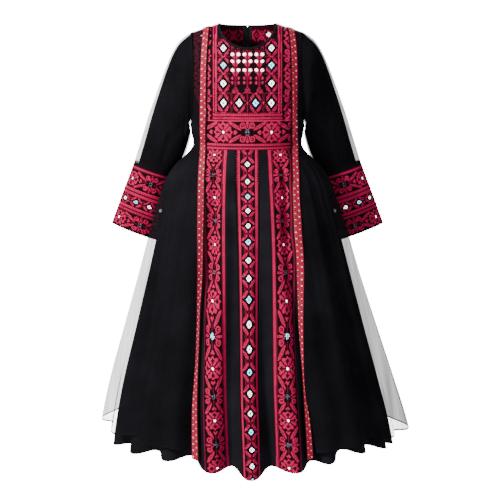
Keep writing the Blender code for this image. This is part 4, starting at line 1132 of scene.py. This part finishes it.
def cut_of(points):
    """Flat coordinates of a grid: distance across each row and down each column."""
    across = np.linalg.norm(np.diff(points, axis=1), axis=-1)
    across = np.concatenate([np.zeros((len(points), 1)), np.cumsum(across, axis=1)], axis=1)
    downward = np.linalg.norm(np.diff(points, axis=0), axis=-1)
    downward = np.concatenate([np.zeros((1, points.shape[1])), np.cumsum(downward, axis=0)])
    across = across - across.mean(axis=1, keepdims=True)
    return np.stack([across, np.broadcast_to(downward.mean(axis=1, keepdims=True), across.shape)], axis=-1)


PIECES = {}


def dress_shell(name, face, u, down, finish, colours=None):
    """A panel of the dress on its own solid's outer side."""
    outer = cloth("dress", face, u, down, 0.0)
    inner = cloth("dress", face, u, down, -CLOTH_THICK)
    made = shell(name + "_cloth", outer, inner, finish, cut_of(outer), colours)
    if colours is not None:
        stitch_coordinates(made, 1 / CELL)
    PIECES[name] = made


print("cloth drawn", CLOTH_THICK * 1000, "mm thick")

# %% [markdown]
# ## Dress
# Each panel is the same form as its solid, divided finely enough to carry one colour for
# each stitch of the print. Plain panels only need enough points for their creases.

# %% Bodice front, waist band and sides
BODICE_ROWS = np.concatenate([np.linspace(0, 0.05, 11)[:-1], np.linspace(0.05, 0.16, 15)[:-1],
                              np.linspace(0.16, 1, 92)])
NECK_SIDE = (0.0770, 0.0775, 0.0779)     # extra places where the neckline turns steep
SIDE_TOP = 0.70              # share of the way down the chest where the side fronts start
SIDE_COLUMNS = 10


def rows_between(top, bottom, shares):
    """Heights from each column's top to its bottom at the given shares."""
    return top + (bottom - top) * np.asarray(shares)[:, None]


def steps(start, end, size):
    """Even places from start to end, about a given size apart."""
    return np.linspace(start, end, max(2, int(round(abs(end - start) / size)) + 1))


side = steps(0, SHOULDER_HALF, CELL)
across = np.unique(np.concatenate([-side, side, NECK_SIDE, np.negative(NECK_SIDE)])) / SHOULDER_HALF
down = rows_between(top_down(-1, across * SHOULDER_HALF), BAND_TOP - SEAM / 2, BODICE_ROWS)
whole = half_width_at(down)
seam = np.where(down > PRINCESS["down"][0], read(PRINCESS, "half_width", down), whole)
u = across * np.minimum(seam, whole) / whole
cells = draw_bodice(middles(u * whole) * 1000, middles(down))
dress_shell("bodice_front", -1, u, down, stitched, INK_COLOURS[cells])

heights = steps(BAND_TOP + SEAM / 2, WAIST - SEAM / 2, CELL)
edge = read(PRINCESS, "half_width", heights)[:, None]
across = steps(-1, 1, CELL / PRINCESS["half_width"][-1])
down = np.repeat(heights[:, None], len(across), axis=1)
cells = draw_waist_band(middles(across * edge) * 1000, middles(down))
dress_shell("waist_band", -1, across * edge / half_width_at(down), down, stitched, INK_COLOURS[cells])

side_top = float(rows_between(top_down(-1, np.array([SHOULDER_HALF])), BAND_TOP, [SIDE_TOP])[0, 0])
heights = steps(side_top, WAIST - SEAM / 2, 0.005)
down = np.repeat(heights[:, None], SIDE_COLUMNS, axis=1)
inner = (read(PRINCESS, "half_width", down) + SEAM) / half_width_at(down)
for name, sign in (("left", -1), ("right", 1)):
    u = sign * (inner + (1 - 1e-6 - inner) * np.linspace(0, 1, SIDE_COLUMNS))
    dress_shell(f"bodice_side_{name}", -1, u, down, black_cotton)
print("bodice:", [len(obj.data.polygons) for obj in PIECES.values()])

# %% Bodice backs with their facing and zip tapes
TAPE_EDGE = 0.0006
TAPE_WIDTH = 0.0122
TAPE_DEPTH = -(DRESS_WALL + LINING_CLEAR)
FACING_SHARE = 0.24          # of the way from the back neckline to the waist band
side = np.unique(np.concatenate([steps(ZIP_SLIT, SHOULDER_HALF, 0.006), NECK_SIDE, [0.0]]))
side = side[1:] / SHOULDER_HALF
facing_side = np.unique(np.concatenate([steps(FACING_EDGE, NECK_HALF, CELL), NECK_SIDE])) / SHOULDER_HALF
tape_side = np.linspace(TAPE_EDGE, TAPE_EDGE + TAPE_WIDTH, 8) / SHOULDER_HALF
for name, sign in (("left", -1), ("right", 1)):
    chest = rows_between(top_down(1, side * SHOULDER_HALF), BAND_TOP, BODICE_ROWS[::2])
    low = np.repeat(steps(BAND_TOP, WAIST - SEAM / 2, 0.006)[1:, None], len(side), axis=1)
    down = np.concatenate([chest, low])
    u = np.broadcast_to(sign * side, down.shape)
    dress_shell(f"bodice_back_{name}", 1, u, down, black_cotton)

    down = rows_between(top_down(1, facing_side * SHOULDER_HALF), BAND_TOP,
                        np.concatenate([np.linspace(0, 0.05, 7)[:-1], np.linspace(0.05, FACING_SHARE, 26)]))
    u = np.broadcast_to(sign * facing_side, down.shape)
    lining = cloth("dress", 1, u, down, TAPE_DEPTH - CLOTH_THICK)
    cells = draw_facing(middles(u * half_width_at(down)) * 1000, middles(down))
    made = shell(f"neck_facing_{name}_cloth", lining, cloth("dress", 1, u, down, TAPE_DEPTH), stitched,
                 cut_of(lining), INK_COLOURS[cells])
    stitch_coordinates(made, 1 / CELL)
    PIECES[f"neck_facing_{name}"] = made

    chest = rows_between(top_down(1, tape_side * SHOULDER_HALF), BAND_TOP, BODICE_ROWS[::2])
    low = np.repeat(steps(BAND_TOP, WAIST - SEAM / 2, 0.006)[1:, None], len(tape_side), axis=1)
    down = np.concatenate([chest, low])
    u = np.broadcast_to(sign * tape_side, down.shape)
    tape = cloth("dress", 1, u, down, TAPE_DEPTH)
    under = cloth("dress", 1, u, down, TAPE_DEPTH - CLOTH_THICK)
    PIECES[f"zip_tape_{name}"] = shell(f"zip_tape_{name}_cloth", tape, under, zip_tape, cut_of(tape))

# %% Neck binding
BINDING_HEIGHT = 0.0058
BINDING_OUT = 0.0012
BINDING_IN = 0.0017
BINDING_EDGE = 0.35          # share of its thickness that the binding has at its edges
NECK_AXIS = np.array([0, 0, 0.04])
turn = np.linspace(0, math.pi / 2, 41)
side = np.sin(turn) * NECK_HALF / SHOULDER_HALF
back = np.concatenate([[ZIP_SLIT / SHOULDER_HALF], side[1:-1]])
edges, normals = [], []
for face, u in ((1, back), (-1, np.concatenate([side[::-1], -side[1:]])), (1, -back[::-1])):
    down = top_down(face, u * SHOULDER_HALF)
    edges.append(cloth("dress", face, u, down, 0.0))
    normals.append(cloth("dress", face, u, down, 1.0) - edges[-1])
edge, normal = np.concatenate(edges), np.concatenate(normals)
rise = np.cross(np.gradient(edge, axis=0), normal)
rise /= np.linalg.norm(rise, axis=-1, keepdims=True)
rise *= np.sign(np.sum(rise * (NECK_AXIS - edge), axis=-1, keepdims=True))
share = np.linspace(0, 1, 7)[:, None, None]
bulge = np.sqrt(np.clip(1 - (2 * share - 1)**2, 0, 1))
height = BINDING_HEIGHT - (BINDING_HEIGHT - SEAM) * share
middle = (BINDING_OUT - BINDING_IN) / 2
half = (BINDING_OUT + BINDING_IN) / 2
thick = half * (BINDING_EDGE + (1 - BINDING_EDGE) * bulge)
profile = [edge + rise * height + normal * (middle + way * thick) for way in (1, -1)]
PIECES["neck_binding"] = shell("neck_binding_cloth", *profile, black_cotton, cut_of(profile[0]))
print("back and neck:", len(PIECES), "pieces")

# %% Skirt
STRIP_ROWS = 415
ROUTE_ROWS = 54              # rows at which distances along the cloth are worked out
# Panels beside the centre strip, with their widths at the waist and at the hem
SKIRT_PANELS = (("godet", 0.021, 0.058), ("floral", 0.066, 0.080))
STRIP_COLUMNS = 16           # on each side of the centre
FLORAL_COLUMNS = 36
GODET_GRID = (120, 10)       # rows and columns of the plain panels
SIDE_GRID = (130, 44)
BACK_GRID = (130, 64)
route_shares = np.linspace(0, 1, ROUTE_ROWS)


def refine(values, old, new):
    """A grid's values at new rows, from those at old rows."""
    return np.stack([np.interp(new, old, values[:, i]) for i in range(values.shape[1])], axis=1)


def skirt_grid(face, sign, start, end, rows, columns):
    """u, height and distance from the centre line for a panel between two distances."""
    found, distances = [], []
    for share in route_shares:
        turn, gone = arc_row("dress", face, sign, skirt_down, share)
        first = start[0] + (start[1] - start[0]) * share
        last = gone[-1] if end is None else end[0] + (end[1] - end[0]) * share
        distances.append(np.linspace(first + SEAM / 2, last - SEAM / 2, columns + 1))
        found.append(np.interp(distances[-1], gone, turn))
    shares = np.linspace(0, 1, rows + 1)
    turn = refine(np.array(found), route_shares, shares)
    u = sign * np.sin(turn)
    down = skirt_down(all_round(face, u), shares[:, None])
    return u, down, refine(np.array(distances), route_shares, shares)


halves = [skirt_grid(-1, sign, (-SEAM / 2, -SEAM / 2), (STRIP_HALF, STRIP_HALF), STRIP_ROWS,
                    STRIP_COLUMNS)
          for sign in (-1, 1)]
u, down, distance = (np.concatenate([halves[0][i][:, :0:-1], halves[1][i]], axis=1) for i in range(3))
cells = draw_centre_strip(middles(distance * np.sign(u)) * 1000, middles(down))
dress_shell("skirt_centre", -1, u, down, stitched, INK_COLOURS[cells])

for side, sign in (("left", -1), ("right", 1)):
    inner = (STRIP_HALF, STRIP_HALF)
    for part, at_waist, at_hem in SKIRT_PANELS:
        outer = (inner[0] + at_waist, inner[1] + at_hem)
        if part == "godet":
            u, down, distance = skirt_grid(-1, sign, inner, outer, *GODET_GRID)
            dress_shell(f"skirt_{part}_{side}", -1, u, down, black_cotton)
        else:
            u, down, distance = skirt_grid(-1, sign, inner, outer, STRIP_ROWS, FLORAL_COLUMNS)
            across = distance - distance[:, :1]
            wide = across[:, -1:] + np.zeros_like(across)
            cells = draw_floral_strip(middles(across) * 1000, middles(wide) * 1000, middles(down))
            dress_shell(f"skirt_{part}_{side}", -1, u, down, stitched, INK_COLOURS[cells])
        inner = outer
    u, down, distance = skirt_grid(-1, sign, inner, None, *SIDE_GRID)
    dress_shell(f"skirt_side_{side}", -1, u, down, black_cotton)
    u, down, distance = skirt_grid(1, sign, (0, 0), None, *BACK_GRID)
    dress_shell(f"skirt_back_{side}", 1, u, down, black_cotton)
print("skirt:", {name: len(obj.data.polygons) for name, obj in PIECES.items() if "skirt" in name})

# %% [markdown]
# ## Sleeves and cuffs
# The sleeves start from the armhole's own edge. Soft troughs run down from the shoulder and
# across the elbow, and the sheer sleeve repeats them.

# %% Sleeves and cuffs
UNDERARM = math.radians(55)
NORMAL_BLEND = 0.06
UNDERARM_FALL = 0.010        # loose cloth under the arm, a little towards the body
FALL_FROM = 0.14             # where along the arm it starts
FALL_FADE = 0.16
FALL_END = 0.02              # how far short of the cuff it stops
SLEEVE_STEP = 1e-4           # for slopes taken by differences
LAYER_WALLS = {"dress": DRESS_WALL, "sheer": SHEER_WALL}
CUFF_THICK = 0.0010
CUFF_SEAM = 0.0006           # share of the arm's length between the sheer sleeve and the cuff
SEAM_REACH = 1.2             # columns on either side of the underarm seam that count as doubled
SEAM_DOUBLED = 0.8
# Troughs: turn in degrees (0 outer line, 180 inner line, 270 front), lean, where along the
# arm they start and end, width in degrees and height
SLEEVE_CREASES = table(("turn", "lean", "top", "bottom", "width", "height"), (
    (285, 30, 0.06, 0.46, 17, -0.0026), (250, -34, 0.12, 0.52, 15, -0.0024),
    (310, -40, 0.22, 0.62, 16, -0.0022), (230, 36, 0.30, 0.66, 15, -0.0026),
    (274, -22, 0.42, 0.72, 13, -0.0020), (200, 12, 0.10, 0.60, 17, -0.0024),
    (330, 24, 0.36, 0.70, 15, -0.0020), (75, -30, 0.08, 0.50, 18, -0.0026),
    (110, 34, 0.16, 0.58, 15, -0.0022), (50, 26, 0.34, 0.70, 16, -0.0022),
    (140, -28, 0.30, 0.68, 15, -0.0024)))


def sleeve_creases(along, turn):
    """Sum of a sleeve's troughs at a place along and round it."""
    total = np.zeros(along.shape)
    degrees = np.degrees(turn)
    for at, lean, top, bottom, width, height in zip(*SLEEVE_CREASES.values()):
        share = (along - top) / (bottom - top)
        away = np.abs((degrees - at - lean * share + 180) % 360 - 180) / width
        bell = np.where(away < 1, (1 - np.minimum(away, 1)**2)**2, 0)
        total = total + height * bell * smooth(share / CREASE_FADE) * smooth((1 - share) / CREASE_FADE)
    return total


def armhole(layer, turn, offset):
    """Edge of the armhole at a turn of the sleeve, 0 at the shoulder and pi at the armpit."""
    middle, reach = (SHOULDER_DROP + ARMPITS[layer]) / 2, (ARMPITS[layer] - SHOULDER_DROP) / 2
    down = middle - reach * np.cos(turn)
    front = cloth(layer, -1, np.ones_like(turn), down, offset)
    back = cloth(layer, 1, np.ones_like(turn), down, offset)
    edge = np.where((np.sin(turn) < 0)[..., None], front, back)
    past_armpit = smooth((np.abs(math.pi - turn) - UNDERARM) / -UNDERARM)
    edge[..., 0] += SEAM + LAYER_WALLS[layer] * past_armpit
    return edge


def sleeve_point(layer, along, turn):
    """Point of a right sleeve. turn is 0 on the outer line and pi on the inner line."""
    outer = np.stack([read(SLEEVE, "outer_x", along), -read(SLEEVE, "outer_down", along)], axis=-1)
    loose = (UNDERARM_FALL * smooth((along - FALL_FROM) / FALL_FADE)
             * smooth((CUFF_TOP - FALL_END - along) / FALL_FADE))
    inner = np.stack([read(SLEEVE, "inner_x", along) - loose, -read(SLEEVE, "inner_down", along)], axis=-1)
    depth = read(SLEEVE, "half_depth", along)
    if layer == "dress":
        span = outer - inner
        span /= np.linalg.norm(span, axis=-1, keepdims=True)
        outer = outer - span * read(SLEEVE_EASE, "outer", along)[..., None]
        inner = inner + span * read(SLEEVE_EASE, "round", along)[..., None]
        depth = depth - read(SLEEVE_EASE, "round", along)
    ring = (outer + inner) / 2 + (outer - inner) / 2 * np.cos(turn)[..., None]
    y = read(SLEEVE, "y", along) + depth * np.sin(turn)
    return np.stack([ring[..., 0], y, ring[..., 1]], axis=-1)


def set_in(layer, along, turn):
    """Point of a sleeve that starts from its armhole's own shape."""
    offset = 0.0 if layer == "dress" else SHEER_CLEAR_TOP + SHEER_WALL
    start = sleeve_point(layer, np.zeros_like(along), turn)
    own = armhole(layer, turn, offset) - start
    return sleeve_point(layer, along, turn) + own * (1 - smooth(along / ARMHOLE_BLEND))[..., None]


def sleeve_grid(layer, rows, turns, offset, creased=True):
    """Ring by ring grid of a right sleeve, offset along its normals."""
    along, turn = np.meshgrid(np.asarray(rows, float), turns, indexing="ij")
    point = set_in(layer, along, turn)
    round_it = set_in(layer, along, turn + SLEEVE_STEP) - set_in(layer, along, turn - SLEEVE_STEP)
    step = np.where(along < 0.5, SLEEVE_STEP, -SLEEVE_STEP)
    down_it = set_in(layer, along + step, turn) - point
    normal = np.cross(round_it, down_it)
    normal /= np.linalg.norm(normal, axis=-1, keepdims=True)
    middle = set_in(layer, along, turn + math.pi)
    normal *= np.sign(np.sum(normal * (point - middle), axis=-1, keepdims=True))
    panel = armhole(layer, turn, 1.0) - armhole(layer, turn, 0.0)
    share = smooth(along / NORMAL_BLEND)[..., None]
    normal = normal * share + panel * (1 - share)
    normal /= np.linalg.norm(normal, axis=-1, keepdims=True)
    if creased:
        offset = (offset + sleeve_creases(along, turn))[..., None]
    return point + normal * offset


MIRRORED = np.array([-1, 1, 1])
SLEEVE_TURNS = np.linspace(0, 2 * math.pi, 105)[:-1]


rows = np.linspace(0, INNER_SLEEVE_END, 72)
outer = sleeve_grid("dress", rows, SLEEVE_TURNS, 0.0)
inner = sleeve_grid("dress", rows, SLEEVE_TURNS, -CLOTH_THICK)
cuff_rows = np.linspace(CUFF_TOP, 1.0, 82)
cuff_turns = -np.linspace(0, 2 * math.pi, 165)[:-1]
cuff_outer = sleeve_grid("sheer", cuff_rows, cuff_turns, 0.0, False)
cuff_inner = sleeve_grid("sheer", cuff_rows, cuff_turns, -CUFF_THICK, False)
around, along = np.meshgrid(np.linspace(0, 1, 165), cuff_rows)
cells = draw_cuff(middles(around), middles((along - CUFF_TOP) / (1 - CUFF_TOP) * CUFF_MM))
sheer_rows_along = np.linspace(0, CUFF_TOP - CUFF_SEAM, 64)
sheer_sleeve = sleeve_grid("sheer", sheer_rows_along, SLEEVE_TURNS, -SHEER_WALL / 2)


def tube_cut(points):
    """Flat coordinates of a tube, opened along its first column."""
    return cut_of(np.concatenate([points, points[:, :1]], axis=1))


seam_away = np.abs(SLEEVE_TURNS - math.pi)
doubled = np.where(seam_away < SEAM_REACH * (SLEEVE_TURNS[1] - SLEEVE_TURNS[0]), SEAM_DOUBLED, 0)
doubled = np.broadcast_to(doubled, sheer_sleeve.shape[:2]).copy()
doubled[0] = doubled[-1] = 1
for name, flip in (("right", np.array([1, 1, 1])), ("left", MIRRORED)):
    PIECES[f"sleeve_{name}"] = shell(f"sleeve_{name}_cloth", outer * flip, inner * flip, black_cotton,
                                     tube_cut(outer), closed=True)
    cuff = shell(f"cuff_{name}_cloth", cuff_outer * flip, cuff_inner * flip, stitched, tube_cut(cuff_outer),
                 INK_COLOURS[cells], closed=True)
    stitch_coordinates(cuff, 1 / CELL)
    PIECES[f"cuff_{name}"] = cuff
    PIECES[f"overlay_sleeve_{name}"] = sheet_mesh(f"overlay_sleeve_{name}_voile", sheer_sleeve * flip, voile,
                                                  tube_cut(sheer_sleeve), doubled + VOILE_BASE[name],
                                                  closed=True)
print("sleeves and cuffs:", len(PIECES), "pieces so far")

# %% [markdown]
# ## Overlay and its ribbons
# The overlay's fronts and backs hang from the shoulders to the hem in one length. Each is a
# single surface of voile, doubled in a narrow strip along the hem, the side seam and the
# front edge, which is why those edges read as thin dark lines against the light.

# %% Overlay
DOUBLED = 0.0035
DOUBLED_FADE = 0.0012
OVERLAY_COLUMNS = 64
# The voile bunches at the sides of the waist and is drawn almost opaque there, which also paints in the shade
# where the body turns away, and it is a little denser over the front of the chest
GATHERED_AND_SHADE = 1.6
CHEST_DENSE = 0.22
GATHER_FROM = 0.66
GATHER_ROWS = (0.235, 0.47)
GATHER_FADES = (0.04, 0.10)  # over which the gathering comes and goes, down the side
CHEST_END = 0.295
CHEST_FADE = 0.05
BACK_SEAM_SHARE = 0.6        # the back's centre seam is pressed flat and shows less
# Its front edges are pulled open a little more than they were cut. The right one is at its
# full pull from just below the neck, and the left one only far down the skirt
EDGE_PULLED = {-1: 0.005, 1: 0.009}
EDGE_PULL_FROM = {-1: 0.80, 1: 0.10}
# Places down the overlay: 0 to 1 shoulder to waist band, 1 to 2 on to the break below the
# waist, 2 to 3 on to the hem
OVERLAY_PLACES = np.concatenate([np.linspace(0, 0.05, 7)[:-1], np.linspace(0.05, 1, 34)[:-1],
                                 np.linspace(1, 2, 24)[:-1], np.linspace(2, 2.985, 66),
                                 [2.9935, 2.9952, 3.0]])
HEM_FOLD = 2.9945            # the hem's doubled strip starts here


def overlay_down(face):
    """Height of the overlay at an angle, for any place down it."""
    def height(angle, place):
        if place <= 1:
            top = top_down(face, np.abs(np.sin(np.radians(angle))) * SHOULDER_HALF)
            return top * (1 - place) + BAND_TOP * place
        if place <= 2:
            return np.full_like(angle, BAND_TOP + (SHEER_BREAK - BAND_TOP) * (place - 1))
        return sheer_down(angle, place - 2)
    return height


def front_start(turn, gone, down, sign):
    """Distance from the centre line at which the overlay's front edge lies."""
    across = np.sin(turn) * half_width_at(down, "sheer")
    pulled = EDGE_PULLED[sign] * smooth(down[0] / EDGE_PULL_FROM[sign])
    return np.interp(read(SHEER, "front_edge", down[0]) + pulled, across, gone)


def overlay_grid(face, sign, places, chosen):
    """u and height of an overlay panel; chosen gives a row's distances from its two ends."""
    height = overlay_down(face)
    turns = []
    for place in places:
        turn, gone = arc_row("sheer", face, sign, height, place)
        down = height(all_round(face, sign * np.sin(turn)), place)
        if face < 0:
            start = front_start(turn, gone, down, sign)
        else:
            start = ZIP_SLIT if down[0] < WAIST else SEAM / 2
        turns.append(np.interp(chosen(start, gone[-1] - SEAM / 2), gone, turn))
    turn = np.array(turns)
    u = sign * np.sin(turn)
    down = np.array([height(all_round(face, row), place) for row, place in zip(u, places)])
    return u, down


def hemmed(start, end):
    """Distances across a panel, with a pair of places where each doubled strip ends."""
    edge = [0, DOUBLED, DOUBLED + DOUBLED_FADE]
    return np.concatenate([np.add(start, edge), np.linspace(start, end, OVERLAY_COLUMNS + 3)[2:-2],
                           np.subtract(end, edge[::-1])])


columns = len(hemmed(0, 1))
across_doubled = np.zeros(columns)
across_doubled[[0, 1, -2, -1]] = 1
along_doubled = (OVERLAY_PLACES > HEM_FOLD).astype(float)
doubled = np.maximum(across_doubled[None], along_doubled[:, None])
for side, sign in (("left", -1), ("right", 1)):
    for part, face in (("front", -1), ("back", 1)):
        u, down = overlay_grid(face, sign, OVERLAY_PLACES, hemmed)
        grid = cloth("sheer", face, u, down, sheer_clear(down) + SHEER_WALL / 2)
        # At the sides of the waist the voile is drawn denser, partly for its bunching and partly as painted
        # shade
        sides = smooth((np.abs(u) - GATHER_FROM) / (1 - GATHER_FROM))
        waist = (smooth((down - GATHER_ROWS[0]) / GATHER_FADES[0])
                 * smooth((GATHER_ROWS[1] - down) / GATHER_FADES[1]))
        chest = CHEST_DENSE * smooth((CHEST_END - down) / CHEST_FADE) * (face < 0)
        seams = np.maximum(doubled, np.maximum(chest, GATHERED_AND_SHADE * sides * waist))
        if face > 0:
            seams[:, :3] *= BACK_SEAM_SHARE
        name = f"overlay_{part}_{side}"
        PIECES[name] = sheet_mesh(f"{name}_voile", grid, voile, cut_of(grid), seams + VOILE_BASE[side])
print("overlay:", {name: len(obj.data.polygons) for name, obj in PIECES.items() if "overlay" in name})

# %% Ribbons
# A 17.6 mm woven ribbon: a red ground with cream and gold dots staggered along both sides,
# small dark marks beside them, and a dark red selvedge.
RIBBON_CELL = 0.0011
RIBBON_REPEAT = 16.6         # mm
RIBBON_THICK = 0.0010
RIBBON_KEEPS = 0.35          # of a fold's turn that the stiff ribbon follows
RIBBON_EASES = 0.12          # below the waist, over which it comes to lie flatter
RIBBON_CLEAR = 0.0004        # between the voile, as drawn, and the ribbon
RIBBON_PLACES = 17           # across the ribbon
GILT = 0.25                  # how far the gold thread is metallic
RIBBON_BACK = linear("5a1016")
RIBBON_INKS = np.array([linear(code) for code in ("a41038", "d8ac84", "f6e6d0", "14050a", "560a20")])


def draw_ribbon(x, along):
    """Ink numbers of a ribbon, x from -1 to 1 across it and along in millimetres."""
    cells = np.zeros(x.shape, int)
    cells[np.abs(x) > 0.88] = 4
    t = along / RIBBON_REPEAT % 1
    for at, start, name in ((0.46, 0.0, 2), (-0.52, 0.42, 1)):
        away = np.abs((t - start + 0.5) % 1 - 0.5)
        cells[(np.abs(x - at) < 0.17) & (away < 0.085)] = name
        cells[(np.abs(x - at) < 0.26) & (np.abs(away - 0.14) < 0.04)] = 3
        cells[(np.abs(x - at * 0.2) < 0.13) & (away < 0.08)] = 3
        cells[(np.abs(x - at) < 0.13) & (away > 0.43)] = 4
    return cells


def stiffened(grid, down):
    """A ribbon's grid turned from its inner edge to lie flatter than the fold under it."""
    reach = grid - grid[:, :1]
    chord = reach[:, -1]
    side = np.sign(chord[:, :1])
    fall = np.maximum(np.arctan2(chord[:, 1], np.abs(chord[:, 0])), 0)
    ease = (fall * (1 - RIBBON_KEEPS) * smooth((down[:, 0] - WAIST) / RIBBON_EASES))[:, None]
    out, back = reach[..., 0] * side, reach[..., 1]
    turned = np.stack([side * (out * np.cos(ease) + back * np.sin(ease)),
                       back * np.cos(ease) - out * np.sin(ease), reach[..., 2]], axis=-1)
    return grid[:, :1] + turned


ROUTE_PLACES = np.concatenate([np.linspace(0, 0.05, 7)[:-1], np.linspace(0.05, 1, 40)[:-1],
                               np.linspace(1, 2, 26)[:-1], np.linspace(2, 3, 90)])
ribbon_steps = np.linspace(TRIM_EDGE, TRIM_EDGE + TRIM_WIDTH, RIBBON_PLACES)
for side, sign in (("left", -1), ("right", 1)):
    u, down = overlay_grid(-1, sign, ROUTE_PLACES, lambda start, end: start + ribbon_steps)
    centre = RIBBON_PLACES // 2
    middle = surface("sheer", -1, u[:, centre], down[:, centre])
    gone = np.concatenate([[0], np.cumsum(np.linalg.norm(np.diff(middle, axis=0), axis=1))])
    even = steps(0, gone[-1], RIBBON_CELL)
    u, down = refine(u, gone, even), refine(down, gone, even)
    lift = sheer_clear(down) + SHEER_WALL / 2 + RIBBON_CLEAR
    outer = stiffened(cloth("sheer", -1, u, down, lift + RIBBON_THICK), down)
    inner = stiffened(cloth("sheer", -1, u, down, lift), down)
    place, along = np.meshgrid(np.linspace(-1, 1, RIBBON_PLACES), even * 1000)
    cells = draw_ribbon(middles(place), middles(along))
    made = shell(f"trim_{side}_ribbon", outer, inner, ribbon, cut_of(outer), RIBBON_INKS[cells],
                 wrong=RIBBON_BACK)
    gold = np.concatenate([(cells.ravel() == 1) * GILT,
                           np.zeros(len(made.data.polygons) - cells.size)])
    layer = made.data.attributes.new(name="gilt", type="FLOAT", domain="FACE")
    layer.data.foreach_set("value", gold.astype(np.float32))
    PIECES[f"trim_{side}"] = made
print("ribbons:", len(PIECES["trim_left"].data.polygons), "quads each")

# %% [markdown]
# ## Zip
# The slider and pull keep their own solids and take a finer material. A nylon coil runs
# down the inside of the tapes and closes the slit between them.

# %% Zip
COIL_HALF = 0.0019
COIL_DEPTH = 0.0029          # below the back's right side, on the inside of the tapes
COIL_THICK = 0.0010
COIL_PITCH = 0.0016
COIL_RIB = 0.00025
down = np.repeat(steps(BACK_NECK_DROP - 0.0012, WAIST - 0.004, COIL_PITCH / 4)[:, None], 7, axis=1)
u = np.linspace(-1, 1, 7) * COIL_HALF / half_width_at(down)
rib = COIL_RIB * (1 + np.cos(2 * np.pi * down / COIL_PITCH))
coil_out = cloth("dress", 1, u, down, -COIL_DEPTH)
coil_in = cloth("dress", 1, u, down, -COIL_DEPTH - COIL_THICK - rib)
coil = shell("zip_coil", coil_out, coil_in, nylon, cut_of(coil_out))
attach(coil, "garment")
for name in ("zip_slider", "zip_pull"):
    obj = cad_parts[name]
    obj.data.materials.clear()
    obj.data.materials.append(painted_zinc)
print("coil:", len(coil.data.polygons), "quads")

# %% [markdown]
# ## What each piece is
# Every piece moves with the garment and stands for its own solid, which is hidden.


for name, obj in PIECES.items():
    kind, _, side = name.rpartition("_")
    if side not in ("left", "right"):
        kind, side = name, None
    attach(obj, "garment")
    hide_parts(name)
triangles = {name: 2 * len(obj.data.polygons) for name, obj in PIECES.items()}
print("triangles:", sum(triangles.values()), "in all, most in one piece:", max(triangles.values()))
